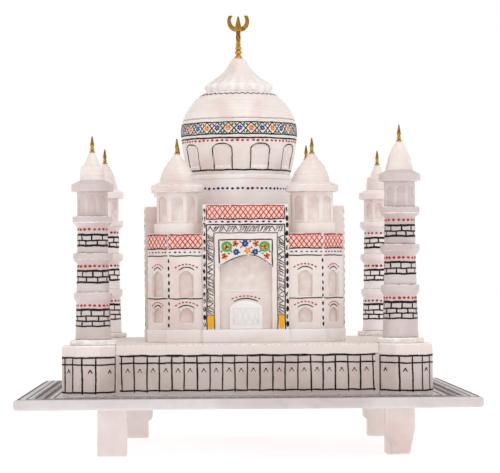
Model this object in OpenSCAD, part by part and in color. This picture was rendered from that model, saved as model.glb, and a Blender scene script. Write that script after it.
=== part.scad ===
// Carved marble souvenir of a domed mausoleum: a four-legged stand, a walled terrace with
// corner bastions, a square building with a lift-off dome, and four lift-off minarets.
// Millimetres, +Z up. The origin is on the table, under the middle of the stand, and the
// front of the building faces -Y.

/* [Stand] */
// Width of the square stand slab
slab_w = 256; // [240:1:280]
// Thickness of the stand slab
slab_t = 6; // [5:0.5:9]
// Radius of the slab's corners in plan
slab_corner_r = 3; // [1:0.5:8]
// Height of the legs, table to slab
leg_h = 28; // [22:1:40]
// Thickness of a leg
leg_w = 16.3; // [14:0.1:20]
// Middle of the stand to the middle of the front left leg, along X
leg_x_front_left = 76; // [60:0.5:100]
// Middle of the stand to the middle of the front right leg, along X
leg_x_front_right = 85.5; // [60:0.5:100]
// Middle of the stand to the middle of the back left leg, along X
leg_x_back_left = 67.5; // [60:0.5:100]
// Middle of the stand to the middle of the back right leg, along X
leg_x_back_right = 86; // [60:0.5:100]
// Middle of the stand to the middle of each leg, along Y
leg_y = 79; // [60:1:100]
// Length of the bracket on the inner side of each back leg
bracket_len = 2.7; // [2:0.1:6]
// Depth of the bracket below the slab
bracket_h = 17.5; // [10:0.5:22]
// How much the front right leg narrows, on its outer side, over the lower half of its height
leg_taper = 3; // [0.5:0.5:4]

/* [Terrace] */
// Height of the terrace over the stand slab
terrace_h = 28.5; // [24:0.5:34]
// Middle of the terrace to the outer face of each wall
wall_face = 93.5; // [90:0.5:94]
// Thickness of the terrace walls
wall_t = 8; // [6:0.5:9]
// Thickness of the deck slab between the walls
deck_t = 6; // [5:0.5:8]
// Middle of the terrace to the middle of each bastion, along X and along Y
bastion_pitch = 88.3; // [87:0.1:89]
// Width of a bastion across its flats
bastion_af = 29.8; // [29:0.1:31]
// Width of a minaret's step across its flats
step_af = 26; // [24:0.5:27]
// Height of a minaret's step
step_h = 3; // [2:0.5:5]

/* [Building] */
// Width of the square building, wing face to wing face
building_w = 112.6; // [110:0.1:116]
// Length of a leg of the chamfer at each corner
chamfer = 11.5; // [10:0.5:14]
// Height of the plinth under the building
plinth_h = 7.5; // [5:0.5:10]
// How far the plinth stands out from the walls
plinth_out = 0.5; // [0.3:0.1:2]
// Height of the wings over the plinth
wing_h = 55; // [52:0.5:60]
// Width of each portal
portal_w = 49; // [47:0.5:49.5]
// Height of each portal over the plinth
portal_h = 71.5; // [66:0.5:78]
// Thickness of each portal slab
portal_t = 8; // [7:0.5:10]
// How far a portal stands out from the wings
portal_out = 2.2; // [1:0.1:4]
// Width of a portal's niche
niche_w = 30; // [26:0.5:32]
// Height of the niche to the spring of its arch
niche_spring = 36; // [32:0.5:40]
// Rise of the niche's arch
niche_rise = 6.5; // [4:0.5:9]
// Depth of the niche
niche_d = 3.8; // [2:0.1:3.9]
// Width of the carved door panel in each niche
door_w = 19; // [15:0.5:22]
// Height of the door panel to the spring of its arch
door_spring = 13; // [10:0.5:20]
// Middle of a wing face to the middle of the building
window_x = 34; // [32:0.5:38]
// Width of a window recess
window_w = 7.4; // [6:0.2:8]
// Depth of a window recess
window_d = 1.5; // [1:0.1:2.5]

/* [Dome] */
// Axis of the drum, the dome and its finial along X, off the middle of the building
dome_x = -2.5; // [-4:0.5:4]
// Radius of the drum
drum_r = 30.4; // [29:0.1:32]
// Height of the drum over the roof
drum_h = 35; // [30:0.5:38]
// Radius of the dome where it sits on the drum
dome_base_r = 30.2; // [28:0.1:30.4]
// Greatest radius of the dome
dome_r = 34.6; // [33:0.1:36]
// Height of the widest ring over the drum
dome_low_h = 24.9; // [22:0.1:28]
// Height of the lotus cap's seat over the widest ring
dome_high_h = 24.4; // [22:0.1:26]
// Upright half axis of the dome's upper curve
dome_curve = 30.4; // [29:0.1:34]
// Radius of the lotus cap's rim
cap_r = 20.4; // [18:0.1:22]
// Height of the lotus cap
cap_h = 20.9; // [18:0.1:24]

/* [Main finial] */
// Height of the turned brass stem
stem_h = 16.2; // [14:0.2:18]
// Outer radius of the brass crescent
crescent_r = 6.55; // [5:0.05:8]
// Thickness of the crescent plate
crescent_t = 1.8; // [1.2:0.1:2.5]

/* [Roof kiosks] */
// Middle of the roof to the middle of each kiosk, along X and along Y
kiosk_pitch = 39.1; // [38.5:0.1:40]
// Radius of a kiosk's round base
kiosk_base_r = 13.3; // [12.5:0.1:13.9]
// Width of a kiosk across its flats
kiosk_af = 23.6; // [22:0.2:25]
// Radius of a kiosk's eave
kiosk_eave_r = 15.2; // [14:0.1:16]
// Radius of a kiosk's dome
kiosk_dome_r = 10.2; // [8:0.1:11]

/* [Minarets] */
// Middle of the terrace to the middle of each minaret, along X and along Y
minaret_pitch = 86; // [84:0.5:87]
// Height of the front left lower shaft
lower_h_front_left = 20.5; // [18:0.1:26]
// Height of the front right lower shaft
lower_h_front_right = 23.6; // [18:0.1:26]
// Height of the back left lower shaft
lower_h_back_left = 21.6; // [18:0.1:26]
// Height of the back right lower shaft
lower_h_back_right = 20.5; // [18:0.1:26]
// Height of the middle shaft
middle_h = 16; // [14:0.1:20]
// Height of the upper shaft
upper_h = 14.6; // [12:0.1:18]
// Height of each balcony
balcony_h = 5.9; // [4:0.1:8]
// Height of the lantern
lantern_h = 14; // [12:0.1:16]
// Width of the lantern across its flats
lantern_af = 16.8; // [15:0.1:18]
// Radius of the lantern's eave
eave_r = 11.7; // [10:0.1:13]
// Radius of a minaret's dome
minaret_dome_r = 7.5; // [7:0.1:8.5]
// Height of a minaret's dome
minaret_dome_h = 16.2; // [14:0.1:18]
// Height of a small brass finial
spindle_h = 9; // [7:0.1:12]

/* [Fits] */
// Gap all round between a peg and its socket
fit_gap = 0.1; // [0.05:0.01:0.1]
// Radius of the peg under each minaret
spigot_r = 4; // [3:0.1:5]
// Length of the peg under each minaret
spigot_h = 12; // [8:0.5:16]
// Radius of the boss under the main dome
boss_r = 18; // [12:0.5:22]
// Length of the boss under the main dome
boss_h = 10; // [6:0.5:14]

/* [Hidden] */
$fn = 64;

MARBLE = [0.92, 0.87, 0.85];
BRASS = [0.72, 0.5, 0.16];

// A corner is [sign of X, sign of Y, lower shaft height, upright stretch of the rest, leg's X,
// leg's taper].
FRONT_LEFT = [-1, -1, lower_h_front_left, 1, leg_x_front_left, 0];
FRONT_RIGHT = [1, -1, lower_h_front_right, 1.025, leg_x_front_right, leg_taper];
BACK_LEFT = [-1, 1, lower_h_back_left, 1.01, leg_x_back_left, 0];
BACK_RIGHT = [1, 1, lower_h_back_right, 1, leg_x_back_right, 0];
CORNERS = [FRONT_LEFT, FRONT_RIGHT, BACK_LEFT, BACK_RIGHT];

// Levels of the top faces, from the table up.
slab_z = leg_h + slab_t;
terrace_z = slab_z + terrace_h;
step_z = terrace_z + step_h;
plinth_z = terrace_z + plinth_h;
roof_z = plinth_z + wing_h;
drum_z = roof_z + drum_h;
cap_z = drum_z + dome_low_h + dome_high_h;
finial_z = cap_z + cap_h;

bastion_inner = bastion_pitch - bastion_af / 2;
portal_face = building_w / 2 + portal_out;
chamfer_face = (building_w - chamfer) / sqrt(2);
dome_top_r = dome_r * sqrt(1 - pow(dome_high_h / dome_curve, 2));
window_levels = [[18.8, 11.9], [4, 5.5]];  // sill over the plinth, height to the spring

peg_r = 2.5;
peg_h = 3;
shank_r = 0.7;
shank_h = 5;
shank_gap = 0.05;
seat_drop = 0.3;  // the flat on a small dome's crown, under its finial
stem_shank_r = 1.4;
stem_shank_h = 9;
kiosk_base_h = 6;
kiosk_body_h = 18;
kiosk_eave_h = 6;
kiosk_dome_h = 16.5;
eave_h = 5.9;
eps = 1;  // overshoot of a cutter past the face it cuts

function quarter_turns(points) = [
    for (turn = [0:3])
        for (p = points)
            [p.x * cos(90 * turn) - p.y * sin(90 * turn), p.x * sin(90 * turn) + p.y * cos(90 * turn)]
];

function chamfered_square(w, c) = quarter_turns([[w / 2, w / 2 - c], [w / 2 - c, w / 2]]);

// Centre of the arc that runs from an arch's left spring (-half, 0) to its point (0, rise).
function arch_centre(half, rise, r) =
    let (
        chord = sqrt(half * half + rise * rise),
        depth = sqrt(r * r - chord * chord / 4)
    )
    [rise / chord * depth - half / 2, rise / 2 - half / chord * depth];

// A quarter of an ellipse: a list of [radius, height] from the rim to the crown.
function dome_curve_points(r, h, steps) = [
    for (i = [0:steps])
        [r * cos(90 * i / steps), h * sin(90 * i / steps)]
];

module rounded_square(w, r) {
    square([w - 2 * r, w], center = true);
    square([w, w - 2 * r], center = true);
    for (sx = [-1, 1], sy = [-1, 1])
        translate([sx * (w / 2 - r), sy * (w / 2 - r)])
            circle(r);
}

module octagon(af, h) {
    rotate(22.5)
        cylinder(r = af / 2 / cos(22.5), h = h, $fn = 8);
}

module arch_outline(w, spring, rise, r) {
    c = arch_centre(w / 2, rise, r);
    translate([-w / 2, 0])
        square([w, spring]);
    translate([0, spring])
        intersection() {
            translate(c)
                circle(r);
            translate([-c.x, c.y])
                circle(r);
            translate([-w / 2, -eps])
                square([w, rise + 2 * eps]);
        }
}

// An arched block whose outer face is at -distance along Y and whose depth runs inwards.
module arch_block(distance, depth, w, spring, rise, r) {
    translate([0, -distance + depth, 0])
        rotate([90, 0, 0])
            linear_extrude(depth)
                arch_outline(w, spring, rise, r);
}

module at_corner(corner, pitch, z) {
    translate([corner[0] * pitch, corner[1] * pitch, z])
        children();
}

module on_each_side() {
    for (turn = [0:3])
        rotate(90 * turn)
            children();
}

// ---- stand ----

module stand_slab() {
    color(MARBLE)
        translate([0, 0, leg_h])
            linear_extrude(slab_t)
                rounded_square(slab_w, slab_corner_r);
}

module leg_outline(taper) {
    shoulder = taper > 0 ? [[leg_w, leg_h / 2]] : [];
    polygon(concat([[0, 0], [leg_w - taper, 0]], shoulder, [[leg_w, leg_h], [0, leg_h]]));
}

// A thin block under the slab against the leg's inner side, rounded off below.
module bracket_outline() {
    bracket_z = leg_h - bracket_h;
    translate([-bracket_len, bracket_z + bracket_len])
        square([bracket_len, bracket_h - bracket_len]);
    intersection() {
        translate([0, bracket_z + bracket_len])
            circle(bracket_len);
        translate([-bracket_len, bracket_z])
            square(bracket_len);
    }
}

// Drawn for the right side of the stand, inner side first, and mirrored for the left.
module stand_leg(corner) {
    color(MARBLE)
        translate([corner[0] * corner[4], corner[1] * leg_y, 0])
            mirror([corner[0] < 0 ? 1 : 0, 0, 0])
                translate([-leg_w / 2, leg_w / 2, 0])
                    rotate([90, 0, 0])
                        linear_extrude(leg_w) {
                            leg_outline(corner[5]);
                            if (corner[1] > 0)
                                bracket_outline();
                        }
}

// ---- terrace ----

module terrace_wall(turn) {
    color(MARBLE)
        rotate(turn)
            translate([-bastion_inner, -wall_face, slab_z])
                cube([2 * bastion_inner, wall_t, terrace_h]);
}

module terrace_deck() {
    inner = wall_face - wall_t;
    color(MARBLE)
        difference() {
            translate([-inner, -inner, terrace_z - deck_t])
                cube([2 * inner, 2 * inner, deck_t]);
            for (corner = CORNERS)
                at_corner(corner, bastion_pitch, terrace_z - deck_t - eps)
                    octagon(bastion_af, deck_t + 2 * eps);
        }
}

module socket(corner, depth) {
    at_corner(corner, minaret_pitch, step_z - depth)
        cylinder(r = spigot_r + fit_gap, h = depth + eps);
}

module bastion(corner) {
    color(MARBLE)
        difference() {
            at_corner(corner, bastion_pitch, slab_z)
                octagon(bastion_af, terrace_h);
            socket(corner, spigot_h + 1);
        }
}

module bastion_steps() {
    color(MARBLE)
        for (corner = CORNERS)
            difference() {
                at_corner(corner, minaret_pitch, terrace_z)
                    octagon(step_af, step_h);
                socket(corner, step_h + eps);
            }
}

// ---- building ----

module building_plinth() {
    w = building_w + 2 * plinth_out;
    portal_side = portal_w + 2 * plinth_out;
    color(MARBLE)
        translate([0, 0, terrace_z])
            linear_extrude(plinth_h) {
                polygon(chamfered_square(w, chamfer));
                on_each_side()
                    translate([-portal_side / 2, -portal_face - plinth_out])
                        square([portal_side, w / 2]);
            }
}

module window_cut(distance, level) {
    translate([0, 0, level[0]])
        arch_block(distance + eps, window_d + eps, window_w, level[1], 3, 5);
}

module building_block() {
    color(MARBLE)
        translate([0, 0, plinth_z])
            difference() {
                linear_extrude(wing_h)
                    polygon(chamfered_square(building_w, chamfer));
                on_each_side() {
                    translate([-portal_w / 2, -portal_face, -eps])
                        cube([portal_w, portal_t, wing_h + 2 * eps]);
                    for (level = window_levels) {
                        for (side = [-1, 1])
                            translate([side * window_x, 0, 0])
                                window_cut(building_w / 2, level);
                        rotate(45)
                            window_cut(chamfer_face, level);
                    }
                }
            }
}

module portal(turn) {
    niche_cut = niche_d + eps;
    color(MARBLE)
        translate([0, 0, plinth_z])
            rotate(turn)
                difference() {
                    translate([-portal_w / 2, -portal_face, 0])
                        cube([portal_w, portal_t, portal_h]);
                    translate([0, 0, -eps])
                        arch_block(portal_face + eps, niche_cut, niche_w, niche_spring + eps, niche_rise, 28);
                }
}

module portal_doors() {
    door_t = 1.5;
    color(MARBLE)
        translate([0, 0, plinth_z])
            on_each_side()
                arch_block(portal_face - niche_d + door_t, door_t, door_w, door_spring, 3.5, 16);
}

// ---- dome ----

module drum() {
    lip_h = 2.4;
    lip_out = 0.4;
    color(MARBLE)
        translate([dome_x, 0, roof_z])
            difference() {
                union() {
                    cylinder(r = drum_r, h = drum_h - lip_h);
                    translate([0, 0, drum_h - lip_h])
                        cylinder(r = drum_r + lip_out, h = lip_h);
                }
                translate([0, 0, drum_h - boss_h - 1])
                    cylinder(r = boss_r + fit_gap, h = boss_h + 1 + eps);
            }
}

// The lower part swells from the drum to the widest ring, and the upper part is an ellipse.
module main_dome() {
    swell = dome_r - dome_base_r;
    low = [for (i = [0:8]) [dome_r - swell * pow(1 - i / 8, 1.25), dome_low_h * i / 8]];
    top_angle = asin(dome_high_h / dome_curve);
    high = [
        for (i = [1:10])
            [dome_r * cos(top_angle * i / 10), dome_low_h + dome_curve * sin(top_angle * i / 10)]
    ];
    boss = [[0, -boss_h], [boss_r, -boss_h], [boss_r, 0]];
    color(MARBLE)
        translate([dome_x, 0, drum_z])
            rotate_extrude()
                polygon(concat(boss, low, high, [[0, dome_low_h + dome_high_h]]));
}

module lotus_cap() {
    rim_h = 4.5;
    neck_r = 5;
    flare = [
        for (i = [0:8])
            [neck_r + (cap_r - neck_r) * pow(1 - i / 8, 1.6), rim_h + (cap_h - 1.4 - rim_h) * i / 8]
    ];
    socket_r = stem_shank_r + fit_gap;
    socket_z = cap_h - stem_shank_h - 1;
    crown = [[3.2, cap_h], [socket_r, cap_h], [socket_r, socket_z], [0, socket_z]];
    color(MARBLE)
        translate([dome_x, 0, cap_z])
            rotate_extrude()
                polygon(concat([[0, 0], [cap_r - 1, 0], [cap_r, rim_h - 1.3]], flare, crown));
}

// ---- main finial ----

module bead(z, core_r, r) {
    translate([0, 0, z])
        rotate_extrude()
            translate([core_r, 0])
                circle(r, $fn = 24);
}

module finial_stem() {
    core_r = 1.25;
    color(BRASS)
        translate([dome_x, 0, finial_z]) {
            translate([0, 0, -stem_shank_h])
                cylinder(r = stem_shank_r, h = stem_shank_h);
            cylinder(r1 = 2.55, r2 = 2, h = 2);
            cylinder(r = core_r, h = stem_h);
            bead(3.5, core_r, 0.95);
            bead(6.1, core_r, 0.72);
            bead(8.6, core_r, 0.3);
            translate([0, 0, 9.6])
                cylinder(r = 1.45, h = stem_h - 9.6);
        }
}

// The crescent lies open upwards in the XZ plane, with a spike between its horns.
module finial_crescent() {
    seat = 0.5;
    centre = crescent_r - seat;
    horn_top = centre + 3.4;
    spike_r = 1.75;
    color(BRASS)
        translate([dome_x, crescent_t / 2, finial_z + stem_h])
            rotate([90, 0, 0])
                linear_extrude(crescent_t) {
                    difference() {
                        translate([0, centre])
                            circle(crescent_r);
                        translate([0, centre + 0.55])
                            circle(crescent_r - 2.25);
                        translate([-crescent_r, horn_top])
                            square([2 * crescent_r, crescent_r]);
                        translate([0, -eps])
                            square([4 * crescent_r, 2 * eps], center = true);
                    }
                    polygon([
                        [-spike_r, 1], [spike_r, 1], [spike_r, centre - 3.2], [0.45, centre + 2.9],
                        [-0.45, centre + 2.9], [-spike_r, centre - 3.2]
                    ]);
                }
}

// ---- shapes that the kiosks and the minarets share ----

module arched_octagon(af, h, arch_w, arch_d) {
    difference() {
        octagon(af, h);
        for (turn = [0:7])
            rotate(45 * turn)
                translate([0, 0, 1.5])
                    arch_block(af / 2 + eps, arch_d + eps, arch_w, h - 6, 2.2, 0.75 * arch_w);
    }
}

module eave(r, h, neck_r) {
    rotate_extrude()
        polygon([[0, 0], [r, 0], [r, 0.66 * h], [neck_r, h], [0, h]]);
}

module small_dome(r, h) {
    rotate_extrude()
        difference() {
            polygon(concat(dome_curve_points(r, h, 8), [[0, 0]]));
            translate([0, h - shank_h])
                square([shank_r + shank_gap, shank_h]);
            translate([0, h - seat_drop])
                square([r, seat_drop + eps]);
        }
}

module spindle(h) {
    rotate_extrude()
        polygon([
            [0, -shank_h], [shank_r, -shank_h], [shank_r, -seat_drop], [1.7, -seat_drop], [1, 1.4],
            [0.95, 0.55 * h], [0.3, h], [0, h]
        ]);
}

// ---- roof kiosks ----

module roof_kiosk(corner) {
    color(MARBLE)
        at_corner(corner, kiosk_pitch, roof_z) {
            cylinder(r = kiosk_base_r, h = kiosk_base_h);
            translate([0, 0, kiosk_base_h])
                arched_octagon(kiosk_af, kiosk_body_h, 6.4, 0.6);
        }
}

module kiosk_dome(corner) {
    color(MARBLE)
        at_corner(corner, kiosk_pitch, roof_z + kiosk_base_h + kiosk_body_h) {
            eave(kiosk_eave_r, kiosk_eave_h, kiosk_dome_r);
            translate([0, 0, kiosk_eave_h])
                small_dome(kiosk_dome_r, kiosk_dome_h);
        }
}

module kiosk_finials() {
    color(BRASS)
        for (corner = CORNERS)
            at_corner(corner, kiosk_pitch, roof_z + kiosk_base_h + kiosk_body_h + kiosk_eave_h + kiosk_dome_h)
                spindle(spindle_h);
}

// ---- minarets ----

function lower_top(corner) = step_z + corner[2] + corner[3] * balcony_h;
function middle_top(corner) = lower_top(corner) + corner[3] * (middle_h + balcony_h);
function upper_top(corner) = middle_top(corner) + corner[3] * (upper_h + balcony_h);
function lantern_top(corner) = upper_top(corner) + corner[3] * (lantern_h + eave_h);
function minaret_crown(corner) = lantern_top(corner) + corner[3] * minaret_dome_h;

// A turned shaft with its balcony, a peg below and the socket for the next peg on top.
module shaft(foot_r, neck_r, rim_r, h, rim_h, foot_peg_r, foot_peg_h) {
    top = h + rim_h;
    flare_h = 0.4 * rim_h;
    rotate_extrude()
        polygon([
            [0, -foot_peg_h], [foot_peg_r, -foot_peg_h], [foot_peg_r, 0],
            [foot_r, 0], [neck_r, h], [rim_r, h + flare_h], [rim_r, top],
            [peg_r + fit_gap, top], [peg_r + fit_gap, top - peg_h - 1], [0, top - peg_h - 1]
        ]);
}

module minaret_lower(corner) {
    color(MARBLE)
        at_corner(corner, minaret_pitch, step_z)
            shaft(10.1, 9.3, 10.7, corner[2], corner[3] * balcony_h, spigot_r, spigot_h);
}

module minaret_middle(corner) {
    color(MARBLE)
        at_corner(corner, minaret_pitch, lower_top(corner))
            shaft(9.2, 8.7, 11, corner[3] * middle_h, corner[3] * balcony_h, peg_r, peg_h);
}

module minaret_upper(corner) {
    color(MARBLE)
        at_corner(corner, minaret_pitch, middle_top(corner))
            shaft(8.7, 8.5, 11.1, corner[3] * upper_h, corner[3] * balcony_h, peg_r, peg_h);
}

module minaret_lantern(corner) {
    h = corner[3] * lantern_h;
    color(MARBLE)
        at_corner(corner, minaret_pitch, upper_top(corner)) {
            translate([0, 0, -peg_h])
                cylinder(r = peg_r, h = peg_h);
            arched_octagon(lantern_af, h, 4.6, 0.4);
            translate([0, 0, h])
                eave(eave_r, corner[3] * eave_h, minaret_dome_r + 0.2);
        }
}

module minaret_dome(corner) {
    color(MARBLE)
        at_corner(corner, minaret_pitch, lantern_top(corner))
            small_dome(minaret_dome_r, corner[3] * minaret_dome_h);
}

module minaret_finial(corner) {
    color(BRASS)
        at_corner(corner, minaret_pitch, minaret_crown(corner))
            spindle(corner[3] * spindle_h);
}

stand_slab();
stand_leg(FRONT_LEFT);  // stand_leg_front_left
stand_leg(FRONT_RIGHT);  // stand_leg_front_right
stand_leg(BACK_LEFT);  // stand_leg_back_left
stand_leg(BACK_RIGHT);  // stand_leg_back_right
terrace_wall(0);  // terrace_wall_front
terrace_wall(180);  // terrace_wall_back
terrace_wall(-90);  // terrace_wall_left
terrace_wall(90);  // terrace_wall_right
terrace_deck();
bastion(FRONT_LEFT);  // bastion_front_left
bastion(FRONT_RIGHT);  // bastion_front_right
bastion(BACK_LEFT);  // bastion_back_left
bastion(BACK_RIGHT);  // bastion_back_right
bastion_steps();
building_plinth();
building_block();
portal(0);  // portal_front
portal(180);  // portal_back
portal(-90);  // portal_left
portal(90);  // portal_right
portal_doors();
drum();
main_dome();
lotus_cap();
finial_stem();
finial_crescent();
roof_kiosk(FRONT_LEFT);  // roof_kiosk_front_left
roof_kiosk(FRONT_RIGHT);  // roof_kiosk_front_right
roof_kiosk(BACK_LEFT);  // roof_kiosk_back_left
roof_kiosk(BACK_RIGHT);  // roof_kiosk_back_right
kiosk_dome(FRONT_LEFT);  // kiosk_dome_front_left
kiosk_dome(FRONT_RIGHT);  // kiosk_dome_front_right
kiosk_dome(BACK_LEFT);  // kiosk_dome_back_left
kiosk_dome(BACK_RIGHT);  // kiosk_dome_back_right
kiosk_finials();
minaret_lower(FRONT_LEFT);  // minaret_lower_front_left
minaret_lower(FRONT_RIGHT);  // minaret_lower_front_right
minaret_lower(BACK_LEFT);  // minaret_lower_back_left
minaret_lower(BACK_RIGHT);  // minaret_lower_back_right
minaret_middle(FRONT_LEFT);  // minaret_middle_front_left
minaret_middle(FRONT_RIGHT);  // minaret_middle_front_right
minaret_middle(BACK_LEFT);  // minaret_middle_back_left
minaret_middle(BACK_RIGHT);  // minaret_middle_back_right
minaret_upper(FRONT_LEFT);  // minaret_upper_front_left
minaret_upper(FRONT_RIGHT);  // minaret_upper_front_right
minaret_upper(BACK_LEFT);  // minaret_upper_back_left
minaret_upper(BACK_RIGHT);  // minaret_upper_back_right
minaret_lantern(FRONT_LEFT);  // minaret_lantern_front_left
minaret_lantern(FRONT_RIGHT);  // minaret_lantern_front_right
minaret_lantern(BACK_LEFT);  // minaret_lantern_back_left
minaret_lantern(BACK_RIGHT);  // minaret_lantern_back_right
minaret_dome(FRONT_LEFT);  // minaret_dome_front_left
minaret_dome(FRONT_RIGHT);  // minaret_dome_front_right
minaret_dome(BACK_LEFT);  // minaret_dome_back_left
minaret_dome(BACK_RIGHT);  // minaret_dome_back_right
minaret_finial(FRONT_LEFT);  // minaret_finial_front_left
minaret_finial(FRONT_RIGHT);  // minaret_finial_front_right
minaret_finial(BACK_LEFT);  // minaret_finial_back_left
minaret_finial(BACK_RIGHT);  // minaret_finial_back_right
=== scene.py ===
"""Looks of a carved, hand-painted marble souvenir: a domed mausoleum on a walled terrace.

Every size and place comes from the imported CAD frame. A piece is worked in millimetres on
its own bmesh, and goes to metres when it becomes an object. Marble is either hewn (a CAD
solid with eased, chipped edges) or turned (a profile spun round its axis). The paint is a
film of brush strokes laid on the finished stone, one mesh per pigment and sub-assembly.
"""
import logging
import math
import random
from dataclasses import dataclass
from enum import Enum
from typing import Callable, Iterable

import bmesh
import bpy
from bmesh.types import BMesh, BMVert
from mathutils import Matrix, Vector, noise
from mathutils.bvhtree import BVHTree


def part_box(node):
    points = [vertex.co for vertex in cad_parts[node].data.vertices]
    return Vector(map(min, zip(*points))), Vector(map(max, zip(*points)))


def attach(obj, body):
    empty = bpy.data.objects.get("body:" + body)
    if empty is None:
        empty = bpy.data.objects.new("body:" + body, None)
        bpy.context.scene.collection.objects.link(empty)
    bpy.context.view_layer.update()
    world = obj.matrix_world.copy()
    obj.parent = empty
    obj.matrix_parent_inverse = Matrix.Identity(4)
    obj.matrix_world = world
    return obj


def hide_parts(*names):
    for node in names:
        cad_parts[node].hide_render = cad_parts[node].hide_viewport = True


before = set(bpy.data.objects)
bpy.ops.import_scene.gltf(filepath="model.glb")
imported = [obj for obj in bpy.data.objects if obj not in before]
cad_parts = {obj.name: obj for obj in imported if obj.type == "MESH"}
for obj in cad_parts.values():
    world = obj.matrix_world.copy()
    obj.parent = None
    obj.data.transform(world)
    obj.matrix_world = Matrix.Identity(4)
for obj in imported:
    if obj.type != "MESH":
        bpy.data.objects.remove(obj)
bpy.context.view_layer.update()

LOG = logging.getLogger("marble_souvenir")
MM = 0.001
WIDE_FACE = 20.0  # square millimetres from which a face is broad and carries no edge wear
Point = tuple[float, float]


class Side(Enum):
    """The four sides of the building, as a turn about Z in degrees from the front."""

    FRONT = 0.0
    RIGHT = 90.0
    BACK = 180.0
    LEFT = -90.0


class Corner(Enum):
    """The four corners, as the signs of X and Y."""

    FRONT_LEFT = (-1, -1)
    FRONT_RIGHT = (1, -1)
    BACK_LEFT = (-1, 1)
    BACK_RIGHT = (1, 1)

    @property
    def label(self) -> str:
        """The corner's name as the CAD nodes spell it."""
        return self.name.lower()


# ---- colour ----


def srgb(red: int, green: int, blue: int) -> tuple[float, float, float, float]:
    """Turns a colour of 0 to 255 steps into the linear values that shaders take.

    Args:
        red: Red, 0 to 255.
        green: Green, 0 to 255.
        blue: Blue, 0 to 255.

    Returns:
        Linear red, green, blue and an alpha of 1.
    """
    steps = (value / 255 for value in (red, green, blue))
    linear = [c / 12.92 if c <= 0.04045 else ((c + 0.055) / 1.055) ** 2.4 for c in steps]
    return (*linear, 1.0)


@dataclass(frozen=True)
class PigmentFinish:
    """One water-thinned paint: its colour laid on full, laid on thin, and its gloss."""

    full: tuple[int, int, int]
    thin: tuple[int, int, int]
    roughness: float = 0.56


class Pigment(Enum):
    """The paints on the painter's palette."""

    BLACK = PigmentFinish((20, 12, 11), (66, 49, 45))
    UMBER = PigmentFinish((62, 46, 42), (128, 110, 102))
    SEPIA = PigmentFinish((96, 80, 76), (204, 190, 184))
    CRIMSON = PigmentFinish((126, 22, 20), (178, 62, 48))
    RED = PigmentFinish((182, 36, 32), (222, 98, 80))
    ORANGE = PigmentFinish((232, 104, 36), (246, 168, 96))
    YELLOW = PigmentFinish((248, 180, 0), (250, 190, 10))
    GREEN = PigmentFinish((36, 104, 62), (104, 160, 104))
    LEAF = PigmentFinish((74, 170, 76), (138, 204, 128))
    BLUE = PigmentFinish((28, 26, 112), (84, 84, 172))
    PALE_BLUE = PigmentFinish((92, 150, 206), (168, 200, 226))
    BLUSH = PigmentFinish((236, 190, 174), (244, 214, 204))


@dataclass(frozen=True)
class MarbleFinish:
    """A marble surface: its clouded colours, its gloss, and how it was worked.

    Stone higher than paler_above, in millimetres, is mixed toward a paler tone, as painted light on the tops.
    At 0 none of it is.
    """

    name: str
    pale: tuple[int, int, int] = (240, 231, 227)
    warm: tuple[int, int, int] = (231, 213, 207)
    grey: tuple[int, int, int] = (205, 196, 196)
    cloud_scale: float = 28.0
    roughness: float = 0.46
    lathe: float = 0.0
    chisel: float = 0.5
    # How much concave creases darken: painted shade, and grime.
    dust: float = 0.4
    paler_above: float = 0.0


# Tones mixed into the marble: the first is painted light on the tops, the second painted shade with grime in
# creases, the third a painted highlight with bruising on edges.
PAINTED_TOP_LIGHT, GRIME_AND_CREASE_SHADE, BRUISE_AND_HIGHLIGHT = (242, 231, 226), (196, 168, 158), (252, 247, 243)

MARBLE_HEWN = MarbleFinish("marble_hewn")
# Darker tones than the hewn marble; above the top wall line the stone is painted paler, as painted light on
# the tops.
MARBLE_TERRACE = MarbleFinish("marble_terrace", (216, 203, 197), (204, 187, 180), (186, 176, 175), 24.0,
                              dust=0.6,
                              paler_above=56.3)
# A darker, shaded copy of the marble for the front minarets: painted shade.
MARBLE_SHADED_MINARET = MarbleFinish("marble_minaret", (212, 200, 198), (200, 185, 182), (184, 176, 176), 34.0,
                              0.42, 0.5, 0.3)
# A pale, lit copy of the marble: painted light on the plinth, doors, door lattice, drum and back minarets.
MARBLE_LIT_PALE = MarbleFinish("marble_bleached", (251, 246, 245), (245, 233, 230), (226, 218, 218), 30.0,
                               0.44, 0.3, 0.25)
MARBLE_TURNED = MarbleFinish("marble_turned", cloud_scale=36.0, roughness=0.4, lathe=0.6, chisel=0.15)
# A darker, greyer shaded copy of the marble for the slab: painted shade.
MARBLE_SHADED_SLAB = MarbleFinish("marble_slab", (214, 209, 210), (203, 190, 190), (182, 178, 181), 20.0, 0.4, 0.0,
                           0.25)


# ---- shader graphs ----


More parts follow.
